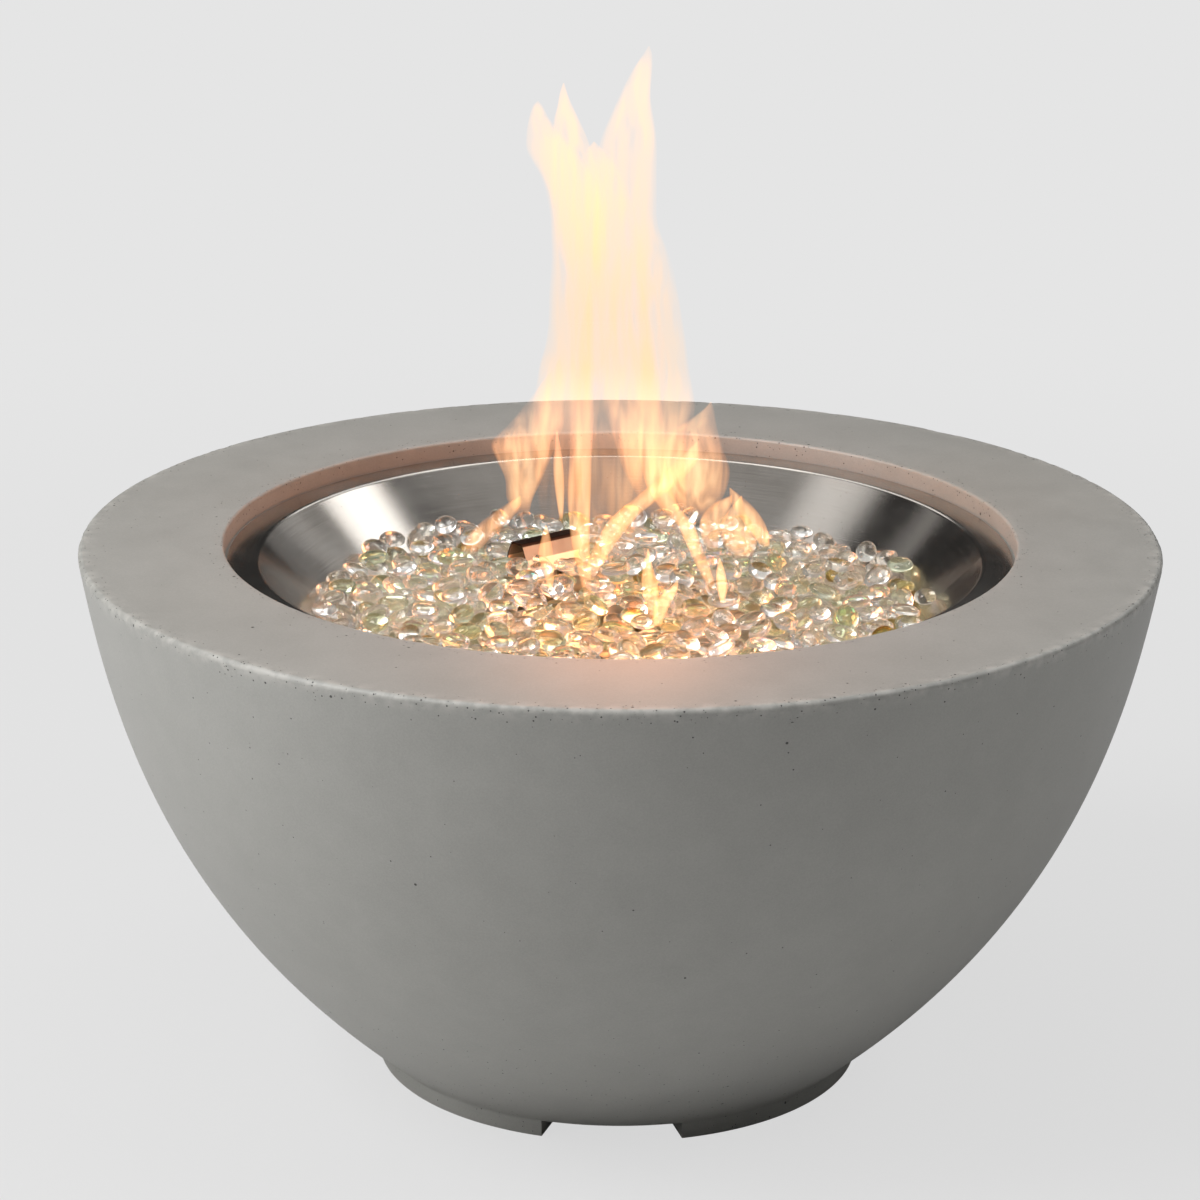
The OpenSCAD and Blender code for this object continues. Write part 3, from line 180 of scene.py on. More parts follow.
def hangLamp(name, kind, watts, place, group):
    # A lamp out of the camera's sight, for all pieces or for one group of them
    lamp = bpy.data.lights.new(name, kind)
    lamp.energy = watts
    holder = bpy.data.objects.new(name, lamp)
    holder.location = place
    holder.visible_camera = False
    if group != "all":
        holder.light_linking.receiver_collection = lightGroups[group]
    bpy.context.scene.collection.objects.link(holder)
    return holder


def lightStudio():
    scene = bpy.context.scene
    scene.view_settings.view_transform = "Standard"
    world = bpy.data.worlds.new("room")
    scene.world = world
    world.use_nodes = True
    tree = world.node_tree
    tree.nodes.clear()
    path = addNode(tree, "LightPath")
    level = addNode(tree, "MapRange", {"To Min": studio["roomDim"], "To Max": studio["roomThroughGlass"]},
                    {"Value": path.outputs["Is Transmission Ray"]})
    lit = addNode(tree, "Background", {"Color": linear(studio["floorGrey"])}, {"Strength": level})
    seen = addNode(tree, "Background", {"Color": linear(studio["floorGrey"])})
    mixed = addNode(tree, "MixShader", links={0: path.outputs["Is Camera Ray"], 1: lit, 2: seen})
    addNode(tree, "OutputWorld", links={"Surface": mixed})

    for group in ("all but pan", "all but pan and glass", "pan"):
        lightOnly(nodes["burner_pan"], group)
    for name, place, target, width, height, watts, group in studio["boxes"]:
        box = hangLamp(name, "AREA", watts, place, group)
        box.data.shape = "RECTANGLE"
        box.data.size, box.data.size_y = width, height
        box.rotation_mode = "QUATERNION"
        box.rotation_quaternion = (Vector(target) - Vector(place)).to_track_quat("-Z", "Y")

    half, low = studio["floorHalf"], -studio["floorDrop"]
    corners = [(-half, -half, low), (half, -half, low), (half, half, low), (-half, half, low)]
    floor = makeMesh("studioFloor", corners, [(0, 1, 2, 3)])
    material, tree = startMaterial("matt paper floor")
    path = addNode(tree, "LightPath")
    matt = addNode(tree, "BsdfDiffuse", {"Color": linear(studio["floorPaper"])})
    flat = addNode(tree, "Emission", {"Color": linear(studio["floorGrey"])})
    spot = addNode(tree, "TexCoord").outputs["Object"]
    away = addNode(tree, "VectorMath", links={0: spot}, operation="LENGTH")
    near, far = studio["shadowReach"]
    plain = addNode(tree, "MapRange", {"From Min": near, "From Max": far, "To Min": 1 - studio["shadowShare"]},
                    {"Value": away}, interpolation_type="SMOOTHSTEP")
    share = addNode(tree, "Math", {}, {0: path.outputs["Is Camera Ray"], 1: plain}, operation="MULTIPLY")
    mixed = addNode(tree, "MixShader", links={0: share, 1: matt, 2: flat})
    addNode(tree, "OutputMaterial", links={"Surface": mixed})
    floor.data.materials.append(material)


lightOnly(nodes["pilot_hood"], "by the hood")
lightStudio()
print("Camera and studio set")


# Concrete bowl: a turned section, then the foot notches and the panel's recess are cut

bowl = {
    "rimLean": 9.6,
    "rimPull": 99.0,
    "footRise": 39.2,
    "footPull": 202.0,
    "wall": 26.0,
    "rimWidth": 98.0,
    "inside": 0.05,
    "rimRound": 3.4,
    "lipRound": 2.0,
    "edgeRound": 0.8,
    "ledgeDrop": 14.0,
    "ledgeWidth": 18.0,
    "rimSlab": 42.0,
    "haunch": 30.0,
    "footRadius": 169.0,
    "footHeight": 12.0,
    "footWidth": 50.0,
    "footFillet": 5.0,
    "baseThickness": 26.0,
    "baseHole": 95.0,
    "notchAngle": 32.6,
    "around": 960,
    "rimRings": 14,
    "wallRings": 72,
    "cavityRings": 34,
    "cutPast": 2.0,
    "panelGap": 2.0,
    "panelLedge": 12.0,
    "panelRound": 6.0,
    "insert": 3.25,
    "insertDepth": 10.3,
    "screwInset": 6.0,
}

# Wear on the rim's outer edge and on the mouth's lip, and open pores: reaches and depth in mm
wear = {
    "edgeReach": 9.0,
    "lipReach": 5.0,
    "lipShare": 0.25,
    "depth": 0.9,
    "slack": 0.12,
    "inwards": 0.7,
    "pores": 0.02,
    "footPores": (0.22, 120.0),
    "edgePores": (1.1, 11.0),
    "lipPores": (0.9, 14.0),
}


def rounded(corner, before, after, radius, steps=5):
    # An arc that replaces a corner, tangent to both sides
    u = (np.array(before) - corner) / np.linalg.norm(np.array(before) - corner)
    v = (np.array(after) - corner) / np.linalg.norm(np.array(after) - corner)
    half = math.acos(max(-1, min(1, u @ v))) / 2
    middle = corner + (u + v) / np.linalg.norm(u + v) * radius / math.sin(half)
    start = np.array(corner) + u * radius / math.tan(half) - middle
    turn = 1 if v[0] * u[1] - v[1] * u[0] > 0 else -1
    arc = []
    for i in range(steps + 1):
        a = turn * (math.pi - 2 * half) * i / steps
        c, s = math.cos(a), math.sin(a)
        arc.append(middle + np.array([start[0] * c - start[1] * s, start[0] * s + start[1] * c]))
    return arc


def bowlSection():
    low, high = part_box("bowl_shell")
    rimR = min(high.x, high.y, -low.x, -low.y) / mm - bowl["inside"]
    top = high.z / mm
    lean, rise = math.radians(bowl["rimLean"]), math.radians(bowl["footRise"])
    grown = bowl["rimRound"] * (1 / math.tan(math.radians(45) - lean / 2) - 1)
    p0 = np.array([rimR + grown, top])
    p3 = np.array([bowl["footRadius"], bowl["footHeight"]])
    p1 = p0 - bowl["rimPull"] * np.array([math.sin(lean), math.cos(lean)])
    p2 = p3 + bowl["footPull"] * np.array([math.cos(rise), math.sin(rise)])

    def curve(t):
        return (1 - t) ** 3 * p0 + 3 * (1 - t) ** 2 * t * p1 + 3 * (1 - t) * t ** 2 * p2 + t ** 3 * p3

    def outward(t):
        d = 3 * (1 - t) ** 2 * (p1 - p0) + 6 * (1 - t) * t * (p2 - p1) + 3 * t ** 2 * (p3 - p2)
        d = d / np.linalg.norm(d)
        return np.array([-d[1], d[0]])

    mouthR = rimR - bowl["rimWidth"]
    holeR = mouthR - bowl["ledgeWidth"]
    ledgeZ = top - bowl["ledgeDrop"]
    ceilingZ = top - bowl["rimSlab"]
    baseZ = bowl["footHeight"] + bowl["baseThickness"]
    footZ, footR = bowl["footHeight"], bowl["footRadius"]
    soft = bowl["edgeRound"]
    wallStart = 1.3 * bowl["rimRound"] / (3 * bowl["rimPull"])

    lip = [np.array([mouthR + bowl["lipRound"] * (1 - math.cos(a)), top - bowl["lipRound"] * (1 - math.sin(a))])
           for a in np.linspace(0, math.pi / 2, 7)]
    flat = np.linspace(mouthR + bowl["lipRound"] + 6, rimR - bowl["rimRound"] - 4, bowl["rimRings"])
    rimTop = [np.array([r, top]) for r in flat]
    edge = rounded(p0, (mouthR, top), curve(wallStart), bowl["rimRound"], 9)
    wall = [curve(t) for t in np.linspace(wallStart * 1.2, 0.985, bowl["wallRings"])]
    foot = rounded(p3, curve(0.96), (footR, 0.0), bowl["footFillet"], 6)
    foot += rounded(np.array([footR, 0.0]), (footR, footZ), (0, 0), soft, 3)
    foot += rounded(np.array([footR - bowl["footWidth"], 0.0]), (footR, 0), (footR - bowl["footWidth"], footZ), soft, 3)
    foot += [np.array([footR - bowl["footWidth"], footZ])]
    hole = rounded(np.array([bowl["baseHole"], footZ]), (footR, footZ), (bowl["baseHole"], baseZ), soft, 3)
    hole += rounded(np.array([bowl["baseHole"], baseZ]), (bowl["baseHole"], 0), (footR, baseZ), soft, 3)
    inner = [curve(t) - bowl["wall"] * outward(t) for t in np.linspace(1, 0, 240)]
    crest = rimR - bowl["wall"] + ceilingZ - bowl["haunch"]
    inner = [p for p in inner if p[1] > baseZ + 0.5 and p[0] + p[1] < crest]
    step = max(1, len(inner) // bowl["cavityRings"])
    inner = inner[::step] + [inner[-1]]
    meet = inner[-1] + (crest - inner[-1].sum()) * np.array([0.2, 0.8])
    shelf = [(crest - ceilingZ, ceilingZ), (holeR, ceilingZ), (holeR, ledgeZ), (mouthR, ledgeZ)]
    return lip + rimTop + edge + wall + foot + hole + inner + [meet] + shelf


def turned(name, section, around):
    # Every point of a closed section, carried round the upright axis
    points = np.array(section) * mm
    turns = np.linspace(0, 2 * math.pi, around, endpoint=False)
    count = len(points)
    verts = np.stack([
        np.outer(np.cos(turns), points[:, 0]),
        np.outer(np.sin(turns), points[:, 0]),
        np.tile(points[:, 1], (around, 1)),
    ], axis=2).reshape(-1, 3)
    i = np.arange(around)[:, None]
    j = np.arange(count)[None, :]
    nextI, nextJ = (i + 1) % around, (j + 1) % count
    corners = [i * count + j, i * count + nextJ, nextI * count + nextJ, nextI * count + j]
    return makeMesh(name, verts, np.stack(corners, axis=2).reshape(-1, 4).tolist())


def panelFrame():
    # The control panel's plane, from the knob's own axis: face middle, right, up, out
    knob = joints["knob_turn"]
    out = Vector(knob["axis"]).normalized()
    right = Vector((-1, 0, 0))
    up = out.cross(right)
    middle = Vector(knob["pos_m"])
    middle.x = 0
    return Matrix.Translation(middle) @ Matrix((right, up, out)).transposed().to_4x4()


def prism(outline, z0, z1, place=None):
    # Points and faces of an outline raised from z0 to z1, in mm, set by a matrix
    place = place or Matrix.Identity(4)
    count = len(outline)
    points = [place @ Vector((x * mm, y * mm, z * mm)) for z in (z0, z1) for x, y in outline]
    faces = [list(range(count))[::-1], list(range(count, 2 * count))]
    faces += [[i, (i + 1) % count, count + (i + 1) % count, count + i] for i in range(count)]
    return points, faces


def plateOutline(width, height, radius, steps=8):
    outline = []
    for cx, cy, start in ((1, 1, 0), (-1, 1, 90), (-1, -1, 180), (1, -1, 270)):
        for k in range(steps + 1):
            a = math.radians(start + 90 * k / steps)
            outline.append((cx * (width / 2 - radius) + radius * math.cos(a),
                            cy * (height / 2 - radius) + radius * math.sin(a)))
    return outline


def cut(piece, parts, name):
    points, faces = [], []
    for partPoints, partFaces in parts:
        faces += [[len(points) + k for k in face] for face in partFaces]
        points += partPoints
    cutter = makeMesh(name, points, faces, 180)
    step = piece.modifiers.new(name, "BOOLEAN")
    step.operation = "DIFFERENCE"
    step.solver = "EXACT"
    step.object = cutter
    shaped = bpy.data.meshes.new_from_object(piece.evaluated_get(bpy.context.evaluated_depsgraph_get()))
    piece.modifiers.clear()
    old = piece.data
    piece.data = shaped
    bpy.data.meshes.remove(old)
    bpy.data.objects.remove(cutter)


def buildBowl():
    piece = turned("concreteBowl", bowlSection(), bowl["around"])
    half = math.radians(bowl["notchAngle"] / 2)
    reach = 2 * bowl["footRadius"]
    notches = []
    for side in (-reach, reach):
        x, y = side * math.sin(half), side * math.cos(half)
        notches.append(prism([(x, y), (-x, y), (0, 0)], -bowl["cutPast"], bowl["footHeight"]))
    place = panelFrame()
    low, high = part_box("control_panel")
    width = (high.x - low.x) / mm
    local = [place.inverted() @ v.co for v in nodes["control_panel"].data.vertices]
    height = (max(p.y for p in local) - min(p.y for p in local)) / mm
    back = min(p.z for p in local) / mm
    gap = bowl["panelGap"]
    ledge = bowl["panelLedge"]
    around = plateOutline(width + 2 * gap, height + 2 * gap, bowl["panelRound"] + gap)
    within = plateOutline(width - 2 * ledge, height - 2 * ledge, bowl["panelRound"])
    turns = np.linspace(0, 2 * math.pi, 24, endpoint=False)
    dimple = [(bowl["insert"] * math.cos(a), bowl["insert"] * math.sin(a)) for a in turns]
    sockets = []
    for sx in (-1, 1):
        for sy in (-1, 1):
            inset = Vector((width / 2 - bowl["screwInset"], height / 2 - bowl["screwInset"], 0)) * mm
            at = Matrix.Translation((sx * inset.x, sy * inset.y, 0))
            sockets.append(prism(dimple, back - bowl["insertDepth"], back + 1, place @ at))
    cut(piece, notches, "footNotches")
    cut(piece, [prism(around, back, bowl["wall"], place)], "panelRecess")
    cut(piece, [prism(within, -2.2 * bowl["wall"], back + 1, place)], "panelWindow")
    cut(piece, sockets, "insertSockets")
    wearEdges(piece.data)
    return piece


def wearEdges(mesh):
    # The rim's outer edge and the mouth's lip crumble a little, always inwards
    co = np.empty(len(mesh.vertices) * 3)
    mesh.vertices.foreach_get("co", co)
    co = co.reshape(-1, 3)
    radius = np.hypot(co[:, 0], co[:, 1])
    low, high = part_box("bowl_shell")
    fromEdge = np.hypot(radius - high.x + 0.0015, co[:, 2] - high.z + 0.0015)
    fromLip = np.hypot(radius - high.x + (bowl["rimWidth"] - 1) * mm, co[:, 2] - high.z + 0.001)
    worn = np.clip(1 - fromEdge / (wear["edgeReach"] * mm), 0, 1)
    worn += wear["lipShare"] * np.clip(1 - fromLip / (wear["lipReach"] * mm), 0, 1)
    moved = co.copy()
    for k in np.nonzero(worn > 0.02)[0]:
        p = Vector(co[k])
        rough = noise.noise(p * 60) + 0.7 * noise.noise(p * 170)
        shrink = max(0.0, rough - wear["slack"]) * wear["depth"] * mm * worn[k] * wear["inwards"]
        moved[k, :2] *= 1 - (shrink if fromEdge[k] < fromLip[k] else -shrink) / radius[k]
        moved[k, 2] -= shrink
    mesh.vertices.foreach_set("co", moved.ravel())
    pores = wear["pores"]
    for kind, away in (("footPores", co[:, 2]), ("edgePores", fromEdge), ("lipPores", fromLip)):
        share, reach = wear[kind]
        pores = pores + share * np.clip(1 - away / (reach * mm), 0, 1)
    for name, values in (("worn", worn), ("pores", pores)):
        mesh.attributes.new(name, "FLOAT", "POINT").data.foreach_set("value", np.clip(values, 0, 1))
    mesh.update()
    mesh.polygons.foreach_set("use_smooth", [True] * len(mesh.polygons))
    mesh.set_sharp_from_angle(angle=math.radians(38))


def castConcrete():
    # Grey concrete cast against a smooth mould: cloudy cement paste, sand grain and open pinholes, each darkened with
    # painted shade
    look = {
        "pale": "#a8a7a2", "deep": "#a09f9a", "worn": "#bcbab4", "pit": "#4d4c49",
        "cloud": 180, "patch": 30, "sand": 1.2, "rub": 9,
        "pinholes": ((12, 0.75, 4.0), (3.2, 0.42, 2.0)),  # cell and pit radius in mm, share of cells
        "sandDeep": 0.03, "pasteDeep": 0.08, "pitDeep": 0.5,  # mm
    }
    material, tree = startMaterial("cast concrete, smooth mould face")
    place = addNode(tree, "TexCoord").outputs["Object"]
    cloud = addNode(tree, "TexNoise", {"Scale": 1000 / look["cloud"], "Detail": 4, "Roughness": 0.6}, {"Vector": place})
    patch = addNode(tree, "TexNoise", {"Scale": 1000 / look["patch"], "Detail": 5, "Roughness": 0.65},
                    {"Vector": place})
    sand = addNode(tree, "TexNoise", {"Scale": 1000 / look["sand"], "Detail": 2.0}, {"Vector": place})
    blend = addNode(tree, "Math", {1: 0.55}, {0: patch}, operation="MULTIPLY")
    both = addNode(tree, "Math", {1: 0.45, 2: 0.0}, {0: cloud, 2: blend}, operation="MULTIPLY_ADD")
    spread = addNode(tree, "MapRange", {"From Min": 0.36, "From Max": 0.64}, {"Value": both})
    paste = addNode(tree, "Mix", {6: linear(look["deep"]), 7: linear(look["pale"])}, {0: spread}, data_type="RGBA")
    grain = addNode(tree, "MapRange", {"From Min": 0.25, "From Max": 0.75, "To Min": 0.94, "To Max": 1.06},
                    {"Value": sand})
    sanded = addNode(tree, "Mix", {0: 1.0}, {6: paste, 7: grain}, data_type="RGBA", blend_type="MULTIPLY")
    worn = addNode(tree, "Attribute", attribute_name="worn").outputs["Fac"]
    rubs = addNode(tree, "TexNoise", {"Scale": 1000 / look["rub"], "Detail": 4.0}, {"Vector": place})
    rubbed = addNode(tree, "MapRange", {"From Min": 0.42, "From Max": 0.62}, {"Value": rubs})
    scuffed = addNode(tree, "Math", {}, {0: worn, 1: rubbed}, operation="MULTIPLY")
    edged = addNode(tree, "Mix", {7: linear(look["worn"])}, {0: scuffed, 6: sanded}, data_type="RGBA")

    # Pinholes: one cell in several holds a pit, and more do where the mould traps air; the dark pit colour is painted
    # shade inside the hole
    pores = addNode(tree, "Attribute", attribute_name="pores").outputs["Fac"]
    pits = None
    for size, radius, share in look["pinholes"]:
        cells = addNode(tree, "TexVoronoi", {"Scale": 1000 / size}, {"Vector": place})
        luck = addNode(tree, "SeparateColor", links={0: cells.outputs["Color"]})
        chosen = addNode(tree, "Math", {1: share}, {0: pores}, operation="MULTIPLY")
        there = addNode(tree, "Math", {}, {0: luck.outputs[0], 1: chosen}, operation="LESS_THAN")
        wide = addNode(tree, "MapRange", {"To Min": 0.5 * radius / size, "To Max": 1.6 * radius / size},
                       {"Value": luck.outputs[1]})
        gone = addNode(tree, "Math", {}, {0: wide, 1: cells.outputs["Distance"]}, operation="SUBTRACT")
        soft = addNode(tree, "Math", {1: size / (0.35 * radius)}, {0: gone}, operation="MULTIPLY", use_clamp=True)
        pit = addNode(tree, "Math", {}, {0: soft, 1: there}, operation="MULTIPLY")
        pits = pit if pits is None else addNode(tree, "Math", {}, {0: pits, 1: pit}, operation="MAXIMUM")
    pitsShaded = addNode(tree, "Mix", {7: linear(look["pit"])}, {0: pits, 6: edged}, data_type="RGBA")

    # Relief: sand on the paste's slow swell, and the pits
    relief = addNode(tree, "Math", {1: look["sandDeep"]}, {0: sand}, operation="MULTIPLY")
    swell = addNode(tree, "Math", {1: look["pasteDeep"]}, {0: patch, 2: relief}, operation="MULTIPLY_ADD")
    height = addNode(tree, "Math", {1: -look["pitDeep"]}, {0: pits, 2: swell}, operation="MULTIPLY_ADD")
    bump = addNode(tree, "Bump", {"Strength": 1.0, "Distance": mm}, {"Height": height})
    matt = addNode(tree, "MapRange", {"To Min": 0.38, "To Max": 0.52}, {"Value": patch})
    endMaterial(tree, {"IOR": 1.5},
                {"Base Color": pitsShaded, "Roughness": matt, "Normal": bump})
    return material


concreteBowl = settle(buildBowl(), "root", castConcrete(), "concrete", "bowl_shell")
print("Bowl cast:", len(concreteBowl.data.polygons), "faces")


# Metals and plastics for the pieces that keep their CAD shape

def brushedMetal(name, colour, shade, rough, grit, brushed=(1.0, 1.0, 1.0)):
    # Metal with a fine grain, drawn out along the brush; grit is the grain's width in mm
    material, tree = startMaterial(name)
    place = addNode(tree, "TexCoord").outputs["Object"]
    stretched = addNode(tree, "Mapping", {"Scale": brushed}, {"Vector": place})
    fine = addNode(tree, "TexNoise", {"Scale": 1000 / grit, "Detail": 3.0}, {"Vector": stretched})
    smear = addNode(tree, "TexNoise", {"Scale": 1000 / 18, "Detail": 4.0, "Roughness": 0.6}, {"Vector": place})
    tone = addNode(tree, "MapRange", {"From Min": 0.35, "From Max": 0.65}, {"Value": smear})
    mixed = addNode(tree, "Mix", {6: linear(colour), 7: linear(shade)}, {0: tone}, data_type="RGBA")
    matt = addNode(tree, "MapRange", {"To Min": rough * 0.8, "To Max": rough * 1.2}, {"Value": fine})
    bump = addNode(tree, "Bump", {"Strength": 0.6, "Distance": 0.02 * mm}, {"Height": fine})
    endMaterial(tree, {"Metallic": 1.0}, {"Base Color": mixed, "Roughness": matt, "Normal": bump})
    return material


def mouldedPlastic(name, colour, shade, rough, texture):
    # Injection-moulded plastic; texture is the spark-eroded grain in mm
    material, tree = startMaterial(name)
    place = addNode(tree, "TexCoord").outputs["Object"]
    fine = addNode(tree, "TexNoise", {"Scale": 1000 / texture, "Detail": 2.0}, {"Vector": place})
    smear = addNode(tree, "TexNoise", {"Scale": 1000 / 14, "Detail": 3.0}, {"Vector": place})
    mixed = addNode(tree, "Mix", {6: linear(colour), 7: linear(shade)}, {0: smear}, data_type="RGBA")
    matt = addNode(tree, "MapRange", {"To Min": rough * 0.8, "To Max": rough * 1.25}, {"Value": smear})
    bump = addNode(tree, "Bump", {"Strength": 0.5, "Distance": 0.04 * mm}, {"Height": fine})
    endMaterial(tree, {"IOR": 1.5}, {"Base Color": mixed, "Roughness": matt, "Normal": bump})
    return material


def heatedHood():
    # Folded stainless sheet: browned by heat over the top and on the sides turned away; its near side is bare steel
    # with a painted glow, the flames' peach light painted into its colour
    look = {"browned": "#54301f", "dark": "#38201a", "bare": "#f6d9bb", "dimmerGlow": "#ecc6a6",
            "rough": 0.4, "patch": 9, "glowSide": (0.65, -0.76, 0)}
    material, tree = startMaterial("stainless sheet, browned by heat")
    place = addNode(tree, "TexCoord").outputs["Object"]
    patch = addNode(tree, "TexNoise", {"Scale": 1000 / look["patch"], "Detail": 4.0}, {"Vector": place})
    top = addNode(tree, "Mix", {6: linear(look["dark"]), 7: linear(look["browned"])}, {0: patch}, data_type="RGBA")
    # Painted light: the near side's two colours are the flames' peach glow on bare steel, not the steel's own grey
    side = addNode(tree, "Mix", {6: linear(look["dimmerGlow"]), 7: linear(look["bare"])}, {0: patch}, data_type="RGBA")
    shape = addNode(tree, "NewGeometry")
    parts = addNode(tree, "SeparateXYZ", links={0: shape.outputs["Normal"]})
    upright = addNode(tree, "Math", links={0: parts.outputs[2]}, operation="ABSOLUTE")
    over = addNode(tree, "MapRange", {"From Min": 0.25, "From Max": 0.5}, {"Value": upright})
    # Only the side turned to the near direction keeps the painted flame glow; the top and every other side turn brown
    towards = addNode(tree, "VectorMath", {1: look["glowSide"]}, {0: shape.outputs["True Normal"]},
                      operation="DOT_PRODUCT")
    far = addNode(tree, "MapRange", {"From Min": 0.4, "From Max": 0.7, "To Min": 1, "To Max": 0}, {"Value": towards})
    brown = addNode(tree, "Math", {}, {0: over, 1: far}, operation="MAXIMUM")
    colour = addNode(tree, "Mix", links={0: brown, 6: side, 7: top}, data_type="RGBA")
    matt = addNode(tree, "MapRange", {"To Min": look["rough"] * 0.8, "To Max": look["rough"] * 1.3}, {"Value": patch})
    bare = addNode(tree, "MapRange", {"To Min": 0.15, "To Max": 1.0}, {"Value": brown})
    endMaterial(tree, {}, {"Base Color": colour, "Metallic": bare, "Roughness": matt})
    return material


def spunSteel():
    # Stainless sheet spun over a form: rings of fine tool marks stretch each highlight down the slope
    look = {"bright": "#cec9c2", "dull": "#aea79f", "dust": "#8f8a84", "rough": 0.22,
            "ring": 0.5, "cloud": 40, "speck": 5}
    material, tree = startMaterial("stainless sheet, spun")
    place = addNode(tree, "TexCoord").outputs["Object"]
    parts = addNode(tree, "SeparateXYZ", links={0: place})
    level = addNode(tree, "CombineXYZ", links={0: parts.outputs[0], 1: parts.outputs[1]})
    radius = addNode(tree, "VectorMath", links={0: level}, operation="LENGTH")
    turn = addNode(tree, "Math", links={0: parts.outputs[1], 1: parts.outputs[0]}, operation="ARCTAN2")
    wide = addNode(tree, "Math", {1: 1000 / look["ring"]}, {0: radius}, operation="MULTIPLY")
    slow = addNode(tree, "Math", {1: 3.0}, {0: turn}, operation="MULTIPLY")
    groove = addNode(tree, "CombineXYZ", links={0: wide, 1: slow})
    rings = addNode(tree, "TexNoise", {"Scale": 1.0, "Detail": 3.0, "Roughness": 0.7}, {"Vector": groove})
    cloud = addNode(tree, "TexNoise", {"Scale": 1000 / look["cloud"], "Detail": 4.0}, {"Vector": place})
    both = addNode(tree, "Math", {}, {0: rings, 1: cloud}, operation="ADD")
    tone = addNode(tree, "MapRange", {"From Min": 0.66, "From Max": 1.34}, {"Value": both})
    plain = addNode(tree, "Mix", {6: linear(look["dull"]), 7: linear(look["bright"])}, {0: tone}, data_type="RGBA")
    cells = addNode(tree, "TexVoronoi", {"Scale": 1000 / look["speck"]}, {"Vector": place})
    speck = addNode(tree, "Math", {1: 0.07}, {0: cells.outputs["Distance"]}, operation="LESS_THAN")
    colour = addNode(tree, "Mix", {7: linear(look["dust"])}, {0: speck, 6: plain}, data_type="RGBA")
    bare = addNode(tree, "Math", {0: 1.0}, {1: speck}, operation="SUBTRACT")
    matt = addNode(tree, "MapRange", {"To Min": look["rough"] * 0.75, "To Max": look["rough"] * 1.25}, {"Value": tone})
    bump = addNode(tree, "Bump", {"Strength": 0.2, "Distance": 0.012 * mm}, {"Height": rings})
    tangent = addNode(tree, "Tangent", direction_type="RADIAL", axis="Z")
    endMaterial(tree, {"Anisotropic": 0.8, "Anisotropic Rotation": 0.25},
                {"Base Color": colour, "Metallic": bare, "Roughness": matt,
                 "Normal": bump, "Tangent": tangent})
    return material


spun = spunSteel()
stainless = brushedMetal("stainless sheet, brushed", "#c9c7c3", "#b5b2ad", 0.3, 0.5, (0.06, 1.0, 1.0))
zinc = brushedMetal("zinc plated steel", "#b9bcc0", "#a3a5a4", 0.34, 0.8)
blackIron = brushedMetal("malleable iron, blackened", "#3b3a39", "#2c2b2a", 0.62, 1.2)
brass = brushedMetal("brass, machined", "#cfa75c", "#b58e48", 0.28, 0.6)
hoodSteelWithPaintedGlow = heatedHood()
burnerSteel = brushedMetal("stainless tube, straw tinted by heat", "#ad9a80", "#8d7a63", 0.36, 0.6)
castAlloy = brushedMetal("zinc alloy, die cast", "#b4b5b6", "#9c9d9e", 0.46, 1.0)
yellowTube = mouldedPlastic("epoxy coat on the connector tube", "#d6a92c", "#c79a22", 0.35, 0.5)
ceramicBody = mouldedPlastic("alumina ceramic, unglazed", "#e9e3d3", "#ddd5c2", 0.7, 0.4)
knobPlastic = mouldedPlastic("phenolic knob, moulded", "#1c1c1d", "#222223", 0.42, 0.5)
igniterPlastic = mouldedPlastic("nylon, moulded", "#1f1f20", "#262627", 0.36, 0.6)
redPlastic = mouldedPlastic("abs button, moulded red", "#b3202a", "#a81b24", 0.3, 0.5)
sleeve = mouldedPlastic("battery sleeve, shrunk film", "#3c4d5e", "#33424f", 0.28, 0.4)
silicone = mouldedPlastic("silicone lead cover", "#262627", "#2d2d2e", 0.55, 0.5)
redRubber = mouldedPlastic("silicone rubber boot", "#7a2620", "#6d1f1a", 0.6, 0.6)
copper = brushedMetal("copper capillary, drawn", "#c27d52", "#a9653d", 0.33, 0.5)

cadFinish = {
    spun: "burner_pan",
    hoodSteelWithPaintedGlow: "pilot_hood",
    stainless: "knob_bezel control_panel",
    burnerSteel: "burner_ring electrode_rod thermocouple",
    brass: "panel_inserts nipple_locknuts thermocouple_nut gas_orifice flare_nuts inlet_fitting valve_body valve_stem",
    zinc: "burner_saddles pan_screws pan_nuts nipple_washers igniter_bracket air_shutter shutter_screw valve_magnet "
          "valve_plunger valve_nut panel_screws battery_spring",
    blackIron: "gas_nipple gas_elbow",
    castAlloy: "air_mixer",
    yellowTube: "gas_connector",
    copper: "thermocouple_lead",
    ceramicBody: "electrode_ceramic",
    knobPlastic: "control_knob",
    igniterPlastic: "igniter_body igniter_nut igniter_cap",
    redPlastic: "igniter_button",
    sleeve: "battery_cell",
    silicone: "ignition_lead",
    redRubber: "lead_boots",
}
for finish, nodeNames in cadFinish.items():
    for nodeName in nodeNames.split():
        nodes[nodeName].data.materials.clear()
        nodes[nodeName].data.materials.append(finish)
print("CAD pieces finished, in", len(cadFinish), "finishes")


# Fire glass: pebbles dropped one by one on the pan, each into the lowest of several places

